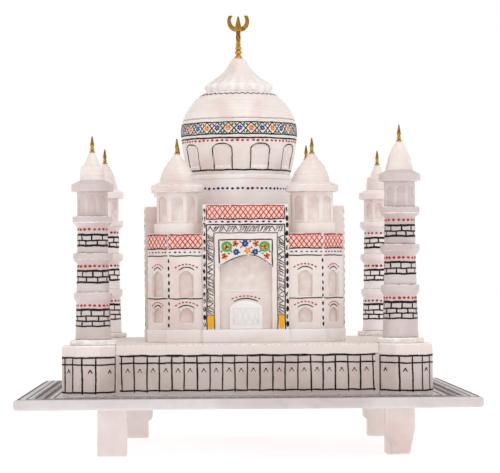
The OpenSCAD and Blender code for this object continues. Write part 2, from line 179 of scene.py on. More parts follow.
class Graph:
    """Adds nodes to one node tree, and links or sets their inputs by name."""

    def __init__(self, tree: bpy.types.NodeTree) -> None:
        """Takes over a node tree.

        Args:
            tree: The tree that nodes are added to.
        """
        self.tree = tree

    def node(self, kind: str, inputs: dict | None = None, **settings: object) -> bpy.types.Node:
        """Adds a node.

        Args:
            kind: The node's type.
            inputs: Values or sockets by input name or number.
            **settings: The node's own settings.

        Returns:
            The new node.
        """
        made = self.tree.nodes.new(kind)
        for name, value in settings.items():
            setattr(made, name, value)
        for name, value in (inputs or {}).items():
            if isinstance(value, bpy.types.NodeSocket):
                self.tree.links.new(value, made.inputs[name])
            else:
                made.inputs[name].default_value = value
        return made

    def math(self, operation: str, first: object, second: object = 0.0) -> bpy.types.NodeSocket:
        """Works out one number from two.

        Args:
            operation: The Math node's operation.
            first: A value or socket.
            second: A value or socket.

        Returns:
            The result's socket.
        """
        return self.node("ShaderNodeMath", {0: first, 1: second}, operation=operation).outputs[0]

    def smooth(self, value: object, low: float, high: float) -> bpy.types.NodeSocket:
        """Eases a value from 0 at low to 1 at high, and returns its socket."""
        inputs = {"Value": value, "From Min": low, "From Max": high}
        return self.node("ShaderNodeMapRange", inputs, interpolation_type="SMOOTHSTEP").outputs[0]

    def mix(self, factor: object, first: object, second: object) -> bpy.types.NodeSocket:
        """Mixes two colours by a factor, and returns the result's socket."""
        made = self.node("ShaderNodeMix", {0: factor, 6: first, 7: second}, data_type="RGBA")
        return made.outputs[2]

    def noise(self, scale: object, detail: float = 2.0, distortion: float = 0.0,
              vector: object = None) -> bpy.types.NodeSocket:
        """Adds a noise texture in Object coordinates.

        Args:
            scale: Features per metre, as a value or socket.
            detail: Octaves of finer noise.
            distortion: How much the noise is warped.
            vector: Coordinates other than the plain Object ones.

        Returns:
            The noise value's socket, 0 to 1.
        """
        where = vector or self.object_place()
        inputs = {"Vector": where, "Scale": scale, "Detail": detail, "Distortion": distortion}
        return self.node("ShaderNodeTexNoise", inputs).outputs[0]

    def object_place(self) -> bpy.types.NodeSocket:
        """The Object coordinates' socket."""
        return self.node("ShaderNodeTexCoord").outputs["Object"]

    def attribute(self, name: str) -> bpy.types.NodeSocket:
        """The value socket of one of the mesh's own attributes."""
        return self.node("ShaderNodeAttribute", attribute_name=name).outputs["Fac"]


FLOAT, COLOUR = "NodeSocketFloat", "NodeSocketColor"


def shader_group(name: str, inputs: dict[str, str], outputs: dict[str, str],
                 build: Callable[[Graph, bpy.types.Node], dict]) -> bpy.types.NodeTree:
    """Makes a shader node group once, and finds it again after that.

    Args:
        name: The group's name.
        inputs: Socket types by input name.
        outputs: Socket types by output name.
        build: Adds the nodes, and returns an output socket for each output name.

    Returns:
        The group's node tree.
    """
    found = bpy.data.node_groups.get(name)
    if found:
        return found
    tree = bpy.data.node_groups.new(name, "ShaderNodeTree")
    for label, kind in inputs.items():
        tree.interface.new_socket(label, in_out="INPUT", socket_type=kind)
    for label, kind in outputs.items():
        tree.interface.new_socket(label, in_out="OUTPUT", socket_type=kind)
    graph = Graph(tree)
    made = build(graph, graph.node("NodeGroupInput"))
    graph.node("NodeGroupOutput", made)
    return tree


def cloudy_stone() -> bpy.types.NodeTree:
    """The group for marble's clouds, faint veins and sugary grain."""
    def build(graph: Graph, given: bpy.types.Node) -> dict:
        scale = given.outputs["Scale"]
        clouds = graph.smooth(graph.noise(scale, 5.0, 0.6), 0.42, 0.66)
        tinted = graph.mix(clouds, given.outputs["Pale"], given.outputs["Warm"])
        vein_noise = graph.noise(graph.math("MULTIPLY", scale, 0.6), 4.0, 1.4)
        ridge = graph.math("ABSOLUTE", graph.math("SUBTRACT", vein_noise, 0.5))
        vein = graph.math("SUBTRACT", 1.0, graph.smooth(ridge, 0.0, 0.035))
        patches = graph.smooth(graph.noise(scale, 2.0), 0.5, 0.7)
        veined = graph.mix(graph.math("MULTIPLY", graph.math("MULTIPLY", vein, patches), 0.55),
                           tinted, given.outputs["Grey"])
        grain = graph.noise(1500.0, 3.0)
        mottle = graph.smooth(graph.noise(260.0, 3.0), 0.35, 0.75)
        speckled = graph.mix(graph.math("MULTIPLY", mottle, 0.22), veined, given.outputs["Warm"])
        return {"Color": speckled, "Grain": grain}

    inputs = {"Pale": COLOUR, "Warm": COLOUR, "Grey": COLOUR, "Scale": FLOAT}
    return shader_group("cloudy_stone", inputs, {"Color": COLOUR, "Grain": FLOAT}, build)


def edge_wear() -> bpy.types.NodeTree:
    """The group for paler edges, a painted edge highlight and bruised stone: it breaks the mesh's wear
    attribute up with noise.
    """
    def build(graph: Graph, given: bpy.types.Node) -> dict:
        rubbed = graph.smooth(graph.noise(420.0, 3.0), 0.3, 0.62)
        spread = graph.math("MULTIPLY", graph.attribute("wear"), graph.math("ADD", rubbed, 0.35))
        return {"Mask": graph.smooth(spread, 0.12, 0.75)}

    return shader_group("edge_wear", {}, {"Mask": FLOAT}, build)


def settled_dust() -> bpy.types.NodeTree:
    """The group for darkening in concave creases, in hollows and under ledges: painted shade, and warm grime.
    """
    def build(graph: Graph, given: bpy.types.Node) -> dict:
        patchy = graph.smooth(graph.noise(180.0, 4.0), 0.25, 0.7)
        return {"Mask": graph.math("MULTIPLY", graph.math("MULTIPLY", graph.attribute("hollow"), patchy),
                                   given.outputs["Amount"])}

    return shader_group("settled_dust", {"Amount": FLOAT}, {"Mask": FLOAT}, build)


def tool_marks() -> bpy.types.NodeTree:
    """The group for a tooled surface: rasp strokes on hewn stone, fine rings on turned stone."""
    def build(graph: Graph, given: bpy.types.Node) -> dict:
        place = graph.object_place()
        stretch = {"Vector": place, "Rotation": (0.3, 0.0, 0.5), "Scale": (1.0, 1.0, 3.2)}
        leaning = graph.node("ShaderNodeMapping", stretch).outputs[0]
        rasp = graph.noise(330.0, 3.0, 0.4, leaning)
        waves = {"Vector": place, "Scale": 210.0, "Distortion": 1.2, "Detail": 2.0, "Detail Scale": 0.6}
        rings = graph.node("ShaderNodeTexWave", waves, bands_direction="Z").outputs["Fac"]
        both = graph.math("ADD", graph.math("MULTIPLY", rasp, given.outputs["Chisel"]),
                          graph.math("MULTIPLY", rings, given.outputs["Lathe"]))
        return {"Height": both}

    return shader_group("tool_marks", {"Chisel": FLOAT, "Lathe": FLOAT}, {"Height": FLOAT}, build)


def brushed_film() -> bpy.types.NodeTree:
    """The group for a brush stroke's load of paint: the load attribute, streaked by noise."""
    def build(graph: Graph, given: bpy.types.Node) -> dict:
        streaks = graph.noise(900.0, 3.0)
        uneven = graph.math("MULTIPLY", graph.math("SUBTRACT", streaks, 0.5), given.outputs["Streaks"])
        return {"Mask": graph.smooth(graph.math("ADD", graph.attribute("load"), uneven), 0.15, 0.9)}

    return shader_group("brushed_film", {"Streaks": FLOAT}, {"Mask": FLOAT}, build)


class Finishes:
    """Makes each material once and hands it out by what it is for."""

    def __init__(self) -> None:
        """Starts with no material made."""
        self.made: dict[str, bpy.types.Material] = {}

    def _start(self, name: str) -> tuple[bpy.types.Material, Graph, bpy.types.Node]:
        """Makes a material whose tree holds only a Principled shader and the output.

        Args:
            name: The material's name.

        Returns:
            The material, a graph over its tree, and its Principled shader.
        """
        material = bpy.data.materials.new(name)
        material.use_nodes = True
        material.node_tree.nodes.clear()
        graph = Graph(material.node_tree)
        shader = graph.node("ShaderNodeBsdfPrincipled")
        graph.node("ShaderNodeOutputMaterial", {"Surface": shader.outputs[0]})
        self.made[name] = material
        return material, graph, shader

    def _wire(self, graph: Graph, shader: bpy.types.Node, sockets: dict[str, bpy.types.NodeSocket]) -> None:
        """Links a socket to each named input of a shader."""
        for label, socket in sockets.items():
            graph.tree.links.new(socket, shader.inputs[label])

    def marble(self, finish: MarbleFinish) -> bpy.types.Material:
        """Marble that lets a little light in, with clouds, tool marks, paler edges (painted highlight and
        bruising) and darkened creases (painted shade and grime).

        Args:
            finish: The surface's colours and working.

        Returns:
            The material.
        """
        if finish.name in self.made:
            return self.made[finish.name]
        material, graph, shader = self._start(finish.name)
        stone = graph.node("ShaderNodeGroup", node_tree=cloudy_stone())
        for label, colour in (("Pale", finish.pale), ("Warm", finish.warm), ("Grey", finish.grey)):
            stone.inputs[label].default_value = srgb(*colour)
        stone.inputs["Scale"].default_value = finish.cloud_scale
        wear = graph.node("ShaderNodeGroup", node_tree=edge_wear())
        dust = graph.node("ShaderNodeGroup", node_tree=settled_dust())
        dust.inputs["Amount"].default_value = finish.dust
        marks = graph.node("ShaderNodeGroup", node_tree=tool_marks())
        marks.inputs["Chisel"].default_value = finish.chisel
        marks.inputs["Lathe"].default_value = finish.lathe
        colour = stone.outputs["Color"]
        # Painted light: stone above paler_above is mixed toward a pale tone, as light falls on the tops.
        if finish.paler_above:
            level = graph.node("ShaderNodeSeparateXYZ", {0: graph.object_place()}).outputs[2]
            above = graph.smooth(level, (finish.paler_above - 1) * MM, (finish.paler_above + 1) * MM)
            colour = graph.mix(graph.math("MULTIPLY", above, 0.75), colour, srgb(*PAINTED_TOP_LIGHT))
        # Concave creases are darkened toward a warm tone: painted shade, and grime.
        grimed_and_shaded = graph.mix(dust.outputs["Mask"], colour, srgb(*GRIME_AND_CREASE_SHADE))
        # Worn edges are mixed toward near white: painted edge highlight, and bruising.
        highlit_and_bruised = graph.mix(wear.outputs["Mask"], grimed_and_shaded, srgb(*BRUISE_AND_HIGHLIGHT))
        sheen = graph.math("ADD", graph.math("MULTIPLY", stone.outputs["Grain"], 0.16),
                           finish.roughness - 0.08)
        rough = graph.math("ADD", sheen, graph.math("MULTIPLY", wear.outputs["Mask"], 0.22))
        grain = graph.math("MULTIPLY", stone.outputs["Grain"], 0.35)
        height = graph.math("ADD", grain, marks.outputs["Height"])
        bump = graph.node("ShaderNodeBump", {"Strength": 0.5, "Distance": 0.00022, "Height": height})
        self._wire(graph, shader, {"Base Color": highlit_and_bruised, "Roughness": rough, "Normal": bump.outputs[0]})
        shader.inputs["Subsurface Weight"].default_value = 0.22
        shader.inputs["Subsurface Radius"].default_value = (1.0, 0.62, 0.5)
        shader.inputs["Subsurface Scale"].default_value = 0.0035
        shader.inputs["IOR"].default_value = 1.49
        return material

    def paint(self, pigment: Pigment) -> bpy.types.Material:
        """A film of one pigment, thicker where the brush was full.

        Args:
            pigment: The paint.

        Returns:
            The material.
        """
        name = f"paint_{pigment.name.lower()}"
        if name in self.made:
            return self.made[name]
        material, graph, shader = self._start(name)
        film = graph.node("ShaderNodeGroup", node_tree=brushed_film())
        film.inputs["Streaks"].default_value = 0.5
        finish = pigment.value
        colour = graph.mix(film.outputs["Mask"], srgb(*finish.thin), srgb(*finish.full))
        rough = graph.math("SUBTRACT", finish.roughness + 0.12,
                           graph.math("MULTIPLY", film.outputs["Mask"], 0.14))
        bump = graph.node("ShaderNodeBump",
                          {"Strength": 0.3, "Distance": 0.0001, "Height": film.outputs["Mask"]})
        self._wire(graph, shader, {"Base Color": colour, "Roughness": rough, "Normal": bump.outputs[0]})
        shader.inputs["Specular IOR Level"].default_value = 0.25
        return material

    def brass(self) -> bpy.types.Material:
        """Cast brass, bright where it is handled and dark where its tarnish attribute is high."""
        name = "aged_brass"
        if name in self.made:
            return self.made[name]
        material, graph, shader = self._start(name)
        blotches = graph.smooth(graph.noise(700.0, 4.0), 0.3, 0.75)
        creeping = graph.math("ADD", graph.attribute("tarnish"), graph.math("MULTIPLY", blotches, 0.35))
        mask = graph.smooth(creeping, 0.2, 1.1)
        dark = graph.math("MULTIPLY", graph.attribute("hollow"), 0.8)
        aged = graph.mix(mask, srgb(214, 160, 66), srgb(112, 76, 34))
        colour = graph.mix(dark, aged, srgb(66, 44, 22))
        rough = graph.math("ADD", graph.math("MULTIPLY", mask, 0.3), 0.26)
        pits = graph.noise(1600.0, 3.0)
        bump = graph.node("ShaderNodeBump", {"Strength": 0.45, "Distance": 0.00012, "Height": pits})
        self._wire(graph, shader, {"Base Color": colour, "Roughness": rough, "Normal": bump.outputs[0]})
        shader.inputs["Metallic"].default_value = 1.0
        return material


FINISHES = Finishes()


# ---- places from the frame ----


@dataclass(frozen=True)
class Extent:
    """The box of a CAD node at rest, in millimetres."""

    low: Vector
    high: Vector

    @classmethod
    def of(cls, node: str) -> "Extent":
        """Reads a CAD node's box from the frame."""
        low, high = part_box(node)
        return cls(low / MM, high / MM)

    @property
    def middle(self) -> Vector:
        """The box's centre."""
        return (self.low + self.high) / 2

    @property
    def size(self) -> Vector:
        """The box's width, depth and height."""
        return self.high - self.low


# ---- mesh work shared by every piece ----


def eased(profile: list[Point], ease: float) -> list[Point]:
    """Rounds the corners of an open profile with three points each.

    Args:
        profile: Radius and height of each point, from the foot to the top.
        ease: How far the rounding starts from a corner.

    Returns:
        The rounded profile.
    """
    rounded: list[Point] = [profile[0]]
    for before, corner, after in zip(profile, profile[1:], profile[2:]):
        here, back, on = Vector(corner), Vector(before), Vector(after)
        turn = (here - back).angle(on - here, 0.0)
        if turn < math.radians(20) or corner[0] < 0.1:
            rounded.append(corner)
            continue
        start = here.lerp(back, min(0.4, ease / max((here - back).length, 1e-6)))
        end = here.lerp(on, min(0.4, ease / max((here - on).length, 1e-6)))
        middle = (start + end) / 4 + here / 2
        rounded += [tuple(start), tuple(middle), tuple(end)]
    return rounded + [profile[-1]]


def turned(profile: list[Point], centre: Point, steps: int, longest: float = 1e9) -> BMesh:
    """Spins a profile round a vertical axis into a closed shape.

    Args:
        profile: Radius and height of each point, from the foot to the top; both ends on the axis.
        centre: X and Y of the axis.
        steps: Faces round the axis.
        longest: Longer stretches of the profile are cut into pieces of about this length.

    Returns:
        The mesh, in millimetres.
    """
    mesh = bmesh.new()
    fine: list[Point] = [profile[0]]
    for (r0, z0), (r1, z1) in zip(profile, profile[1:]):
        cuts = max(1, math.ceil(math.hypot(r1 - r0, z1 - z0) / longest))
        fine += [(r0 + (r1 - r0) * i / cuts, z0 + (z1 - z0) * i / cuts) for i in range(1, cuts + 1)]
    verts = [mesh.verts.new((r, 0.0, z)) for r, z in fine]
    edges = [mesh.edges.new(pair) for pair in zip(verts, verts[1:])]
    bmesh.ops.spin(mesh, geom=verts + edges, cent=(0, 0, 0), axis=(0, 0, 1), dvec=(0, 0, 0),
                   angle=math.tau, steps=steps, use_merge=True)
    bmesh.ops.remove_doubles(mesh, verts=mesh.verts, dist=1e-4)
    bmesh.ops.recalc_face_normals(mesh, faces=mesh.faces)
    bmesh.ops.translate(mesh, verts=mesh.verts, vec=(*centre, 0.0))
    return mesh


def hewn(node: str, ease: float, pitch: float, segments: int = 3) -> BMesh:
    """Copies a CAD node's solid and eases its outer edges, with points along them for chips.

    Args:
        node: The CAD node.
        ease: Width of the eased edge.
        pitch: Distance between the points along an edge.
        segments: Faces across an eased edge.

    Returns:
        The mesh, in millimetres.
    """
    mesh = bmesh.new()
    mesh.from_mesh(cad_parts[node].data)
    bmesh.ops.scale(mesh, verts=mesh.verts, vec=(1 / MM,) * 3)
    bmesh.ops.remove_doubles(mesh, verts=mesh.verts, dist=2e-3)
    bmesh.ops.dissolve_limit(mesh, angle_limit=math.radians(1), verts=mesh.verts, edges=mesh.edges,
                             use_dissolve_boundaries=False)
    hard = [e for e in mesh.edges if e.is_manifold and e.calc_face_angle_signed(0.0) > math.radians(24)]
    by_cuts: dict[int, list] = {}
    for edge in hard:
        by_cuts.setdefault(int(edge.calc_length() / pitch), []).append(edge)
    for cuts, edges in by_cuts.items():
        if cuts:
            bmesh.ops.bisect_edges(mesh, edges=edges, cuts=cuts)
    hard = [e for e in mesh.edges if e.is_manifold and e.calc_face_angle_signed(0.0) > math.radians(24)]
    bmesh.ops.bevel(mesh, geom=hard, offset=ease, offset_type="OFFSET", affect="EDGES", segments=segments,
                    profile=0.5, material=-1, clamp_overlap=True)
    return mesh


def bend_of(vert: BMVert) -> tuple[float, float]:
    """The sharpest outward and inward bends at a vertex, in degrees."""
    bends = [math.degrees(e.calc_face_angle_signed(0.0)) for e in vert.link_edges if e.is_manifold]
    return max(bends, default=0.0), -min(bends, default=0.0)


def eased_step(value: float, low: float, high: float) -> float:
    """Eases a value from 0 at low to 1 at high."""
    share = min(1.0, max(0.0, (value - low) / (high - low)))
    return share * share * (3 - 2 * share)


def mark_edges(mesh: BMesh, low: float = 17.0, high: float = 29.0) -> None:
    """Records how worn and how hollow each vertex is, from the bends at it. In the marble, wear pales the
    edges (painted highlight and bruising) and hollow darkens the creases (painted shade and grime).

    Args:
        mesh: The mesh to mark.
        low: Bend in degrees at which wear starts.
        high: Bend in degrees of full wear.
    """
    wear = mesh.verts.layers.float.new("wear")
    hollow = mesh.verts.layers.float.new("hollow")
    for vert in mesh.verts:
        out, into = bend_of(vert)
        broad = any(face.calc_area() > WIDE_FACE for face in vert.link_faces)
        vert[wear] = 0.0 if broad else eased_step(out, low, high)
        vert[hollow] = eased_step(into, low, high + 25)


def chip(mesh: BMesh, depth: float, scale: float, seed: float, bar: float = 0.1) -> None:
    """Knocks small chips out of the worn edges.

    Args:
        mesh: A mesh with its edges marked.
        depth: Deepest chip.
        scale: Chips per millimetre.
        seed: Shifts the pattern from piece to piece.
        bar: Noise level above which a chip comes out; lower makes more chips.
    """
    mesh.normal_update()
    wear = mesh.verts.layers.float["wear"]
    shift = Vector((seed, 2 * seed, -seed))
    moves = []
    for vert in mesh.verts:
        if vert[wear] > 0.3:
            share = eased_step(noise.noise(vert.co * scale + shift), bar, bar + 0.35)
            moves.append((vert, vert.normal * (-depth * share * vert[wear])))
    for vert, move in moves:
        vert.co += move


def roughen(mesh: BMesh, amount: float, scale: float, seed: float) -> None:
    """Moves every vertex a little along its normal, as hand work leaves it.

    Args:
        mesh: The mesh.
        amount: Largest move.
        scale: Bumps per millimetre.
        seed: Shifts the pattern from piece to piece.
    """
    mesh.normal_update()
    shift = Vector((-seed, seed, 3 * seed))
    moves = [vert.normal * (amount * noise.noise(vert.co * scale + shift)) for vert in mesh.verts]
    for vert, move in zip(mesh.verts, moves):
        vert.co += move


class Stone:
    """Finished marble: it keeps each piece's surface, so that paint can be laid on it."""

    def __init__(self) -> None:
        """Starts with no surface kept."""
        self.surfaces: dict[str, BVHTree] = {}

    def set_down(self, mesh: BMesh, name: str, body: str, material: bpy.types.Material,
                 nodes: Iterable[str] = (), smooth_below: float = 32.0) -> bpy.types.Object:
        """Turns a worked mesh into a piece that rides on its body.

        Args:
            mesh: The mesh, in millimetres; it is freed.
            name: The piece's name.
            body: The CAD body that it rides on.
            material: Its material.
            nodes: The CAD nodes that it stands for.
            smooth_below: Edges that bend less than this many degrees are shaded smooth.

        Returns:
            The piece.
        """
        self.surfaces[name] = BVHTree.FromBMesh(mesh)
        mesh.normal_update()
        for face in mesh.faces:
            face.smooth = True
        for edge in mesh.edges:
            edge.smooth = edge.calc_face_angle(0.0) < math.radians(smooth_below)
        bmesh.ops.scale(mesh, verts=mesh.verts, vec=(MM,) * 3)
        data = bpy.data.meshes.new(name)
        mesh.to_mesh(data)
        mesh.free()
        data.materials.append(material)
        piece = bpy.data.objects.new(name, data)
        bpy.context.scene.collection.objects.link(piece)
        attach(piece, body)
        if nodes:
            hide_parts(*nodes)
        LOG.info("%s on %s: %d faces", name, body, len(data.polygons))
        return piece


STONE = Stone()


# ---- brushwork ----


@dataclass
class FlatCanvas:
    """A flat face to paint on: u runs along right, v along up, and right x up faces out."""

    origin: Vector
    right: Vector
    up: Vector
    surface: BVHTree
    pitch: float = 2.4

    @classmethod
    def upright(cls, side: float, distance: float, surface: BVHTree) -> "FlatCanvas":
        """A vertical face that the centre sees at a turn of side degrees, at that distance.

        Args:
            side: Turn about Z in degrees; 0 is the front.
            distance: From the axis to the face.
            surface: The stone.

        Returns:
            The canvas; its v is the height.
        """
        turn = Matrix.Rotation(math.radians(side), 3, "Z")
        return cls(turn @ Vector((0, -distance, 0)), turn @ Vector((1, 0, 0)), Vector((0, 0, 1)), surface)

    def moved(self, offset: Vector) -> "FlatCanvas":
        """The same canvas with its origin moved by an offset."""
        return FlatCanvas(self.origin + offset, self.right, self.up, self.surface, self.pitch)

    def place(self, u: float, v: float, lift: float) -> Vector:
        """The point on the stone under (u, v), raised by lift."""
        out = self.right.cross(self.up)
        point = self.origin + self.right * u + self.up * v
        hit = self.surface.ray_cast(point + out * 5, -out, 9.0)[0]
        return (hit or point) + out * lift


@dataclass
class RoundCanvas:
    """A turned surface to paint on: u is the arc length at a set radius, v the height."""

    x: float
    y: float
    radius: float
    surface: BVHTree
    pitch: float = 1.1

    @property
    def girth(self) -> float:
        """The arc length once round."""
        return math.tau * self.radius

    def place(self, u: float, v: float, lift: float) -> Vector:
        """The point on the stone under (u, v), raised by lift; u of 0 faces the front."""
        angle = u / self.radius - math.pi / 2
        out = Vector((math.cos(angle), math.sin(angle), 0))
        start = Vector((self.x, self.y, v)) + out * 60
        hit, normal, _, _ = self.surface.ray_cast(start, -out, 60.0)
        if hit is None:
            return Vector((self.x, self.y, v)) + out * (self.radius + lift)
        return hit + normal * lift


Canvas = FlatCanvas | RoundCanvas


class Brushwork:
    """All the strokes of one sub-assembly, gathered in one mesh per pigment."""

    LIFT = 0.04
    COAT = 0.03
    FILM = 0.045

    def __init__(self, name: str, body: str, seed: int) -> None:
        """Takes up clean brushes.

        Args:
            name: The sub-assembly's name.
            body: The CAD body that it rides on.
            seed: Sets the hand's unsteadiness.
        """
        self.name = name
        self.body = body
        self.hand = random.Random(seed)
        self.films: dict[Pigment, BMesh] = {}

    def _film(self, pigment: Pigment) -> BMesh:
        """The mesh that gathers one pigment's strokes."""
        if pigment not in self.films:
            self.films[pigment] = bmesh.new()
            self.films[pigment].verts.layers.float.new("load")
        return self.films[pigment]

    def _lift(self, coat: int) -> float:
        """How far a coat stands off the stone: 0 for a wash, 1 for a line, 2 for what lies over lines."""
        return self.LIFT + self.COAT * coat + self.hand.uniform(0, 0.015)

    def stroke(self, canvas: Canvas, pigment: Pigment, points: list[Point], width: float,
               load: float = 0.9, taper: float = 0.35, wobble: float = 0.09, coat: int = 1) -> None:
        """Draws one brush stroke through points.

        Args:
            canvas: The surface.
            pigment: The paint.
            points: Places along the stroke, as (u, v).
            width: The stroke's width.
            load: How full the brush is, 0 to 1.
            taper: How much the stroke thins at its ends, 0 to 1.
            wobble: How far the hand strays from the line.
            coat: Which coat of paint it belongs to, 0 for the lowest.
        """
        path = [Vector(points[0])]
        for start, end in zip(points, points[1:]):
            cuts = max(1, round(math.dist(start, end) / canvas.pitch))
            path += [Vector(start).lerp(Vector(end), i / cuts) for i in range(1, cuts + 1)]
        count = len(path)
        film = self._film(pigment)
        layer = film.verts.layers.float["load"]
        made = bmesh.ops.create_grid(film, x_segments=count - 1, y_segments=1, size=1)["verts"]
        sway, beat = self.hand.uniform(0, math.tau), self.hand.uniform(0.25, 0.6)
        lift = self._lift(coat)
        run = 0.0
        for i, point in enumerate(path):
            ahead, behind = path[min(i + 1, count - 1)], path[max(i - 1, 0)]
            run += (point - behind).length
            along = (ahead - behind).normalized() if (ahead - behind).length > 1e-6 else Vector((1, 0))
            across = Vector((-along.y, along.x))
            stray = wobble * (math.sin(run * beat + sway) + 0.5 * math.sin(run * 2.7 * beat + 2 * sway))
            end_share = min(1.0, 2.5 * min(i, count - 1 - i) / max(count - 1, 1) + (1 - taper))
            half = width / 2 * end_share * self.hand.uniform(0.86, 1.12)
            centre = point + across * stray
            wet = load * (1 - 0.22 * i / count) * self.hand.uniform(0.82, 1.06)
            for vert, shift in ((made[i], -half), (made[count + i], half)):
                u, v = centre + across * shift
                vert.co = canvas.place(u, v, lift)
                vert[layer] = wet

    def dab(self, canvas: Canvas, pigment: Pigment, u: float, v: float, length: float, breadth: float,
            angle: float = 0.0, load: float = 0.9, points: int = 8, coat: int = 1) -> None:
        """Sets down one short touch of the brush.

        Args:
            canvas: The surface.
            pigment: The paint.
            u: The touch's centre along the canvas.
            v: The touch's centre up the canvas.
            length: Its length.
            breadth: Its breadth.
            angle: Its lean from the u direction, in degrees.
            load: How full the brush is, 0 to 1.
            points: Points round its outline.
            coat: Which coat of paint it belongs to, 0 for the lowest.
        """
        film = self._film(pigment)
        layer = film.verts.layers.float["load"]
        made = bmesh.ops.create_circle(film, cap_ends=True, segments=points, radius=1)["verts"]
        turn = Matrix.Rotation(math.radians(angle + self.hand.gauss(0, 4)), 2)
        size = self.hand.uniform(0.88, 1.12)
        lift = self._lift(coat)
        for vert in made:
            uneven = self.hand.uniform(0.9, 1.1) * size
            local = turn @ Vector((vert.co.x * length / 2 * uneven, vert.co.y * breadth / 2 * uneven))
            vert.co = canvas.place(u + local.x, v + local.y, lift)
            vert[layer] = load * self.hand.uniform(0.75, 1.08)

    def dash_row(self, canvas: Canvas, pigment: Pigment, start: Point, end: Point, pitch: float,
                 length: float, breadth: float, load: float = 0.9) -> None:
        """Sets dabs along a straight row, each lying along it.

        Args:
            canvas: The surface.
            pigment: The paint.
            start: The row's start.
            end: The row's end.
            pitch: Distance from dab to dab.
            length: A dab's length.
            breadth: A dab's breadth.
            load: How full the brush is, 0 to 1.
        """
        span = math.dist(start, end)
        count = max(1, round(span / pitch))
        angle = math.degrees(math.atan2(end[1] - start[1], end[0] - start[0]))
        for i in range(count):
            share = (i + 0.5 + self.hand.gauss(0, 0.05)) / count
            u = start[0] + (end[0] - start[0]) * share + self.hand.gauss(0, 0.06)
            v = start[1] + (end[1] - start[1]) * share + self.hand.gauss(0, 0.06)
            self.dab(canvas, pigment, u, v, length, breadth, angle, load)

    def arc(self, canvas: Canvas, pigment: Pigment, centre_u: float, foot: float, half: float, rise: float,
            width: float, dashes: int = 0, load: float = 0.85) -> None:
        """Draws a shallow arch, whole or in dashes.

        Args:
            canvas: The surface.
            pigment: The paint.
            centre_u: The arch's middle.
            foot: Height of its ends.
            half: Half its span.
            rise: Height of its middle over its ends.
            width: The stroke's width.
            dashes: Number of dashes, or 0 for one stroke.
            load: How full the brush is, 0 to 1.
        """
        def at(share: float) -> Point:
            return centre_u + half * share, foot + rise * math.cos(share * math.pi / 2) ** 0.8

        if not dashes:
            self.stroke(canvas, pigment, [at(-1 + i / 4) for i in range(9)], width, load)
            return
        for i in range(dashes):
            middle = -1 + (2 * i + 1) / dashes
            reach = 0.62 / dashes
            self.stroke(canvas, pigment, [at(middle - reach), at(middle), at(middle + reach)], width, load,
                        taper=0.5, wobble=0.03)

    def flower(self, canvas: Canvas, petal: Pigment, heart: Pigment, u: float, v: float, radius: float,
               petals: int = 6) -> None:
        """Paints a small flower of separate petals round a heart.

        Args:
            canvas: The surface.
            petal: The petals' paint.
            heart: The heart's paint.
            u: The flower's centre along the canvas.
            v: The flower's centre up the canvas.
            radius: From its centre to the petals' tips.
            petals: Number of petals.
        """
        turn = self.hand.uniform(0, 360 / petals)
        for i in range(petals):
            angle = math.radians(turn + 360 * i / petals)
            reach = radius * 0.62
            self.dab(canvas, petal, u + reach * math.cos(angle), v + reach * math.sin(angle),
                     radius * 0.8, radius * 0.62, math.degrees(angle), self.hand.uniform(0.6, 1.0), points=7)
        self.dab(canvas, heart, u, v, radius * 0.75, radius * 0.75, points=7, coat=2)

    def net(self, canvas: Canvas, left: float, right: float, low: float, high: float, mesh_w: float,
            mesh_h: float, width: float) -> None:
        """Fills a band with a red net over a blush wash: two families of leaning lines that cross.

        Args:
            canvas: The surface.
            left: The band's start along the canvas.
            right: The band's end along the canvas.
            low: The band's foot.
            high: The band's top.
            mesh_w: Width of a mesh of the net.
            mesh_h: Height of a mesh of the net.
            width: Width of the lines.
        """
        travel = mesh_w * (high - low) / mesh_h
        middle = (low + high) / 2
        wash = [(left - 0.3, middle), (right + 0.3, middle)]
        self.stroke(canvas, Pigment.BLUSH, wash, high - low, 0.5, 0.0, 0.02, coat=0)
        count = math.ceil((right - left + 2 * travel) / mesh_w)
        for way in (-1, 1):
            for i in range(count):
                foot = left - travel + mesh_w * i + self.hand.gauss(0, 0.12)
                start, end = (foot, foot + travel) if way > 0 else (foot + travel, foot)
                shares = [min(1.0, max(0.0, (edge - start) / (end - start))) for edge in (left, right)]
                first, last = sorted(shares)
                if last - first < 0.03:
                    continue
                line = [
                    (start + (end - start) * share, low + (high - low) * share)
                    for share in (first + (last - first) * k / 4 for k in range(5))
                ]
                self.stroke(canvas, Pigment.RED, line, width, self.hand.uniform(0.5, 1.0), 0.1, 0.05)
                if self.hand.random() < 0.55:
                    self.dab(canvas, Pigment.CRIMSON, *line[2], width * 1.4, width * 1.2, load=0.6, coat=2)

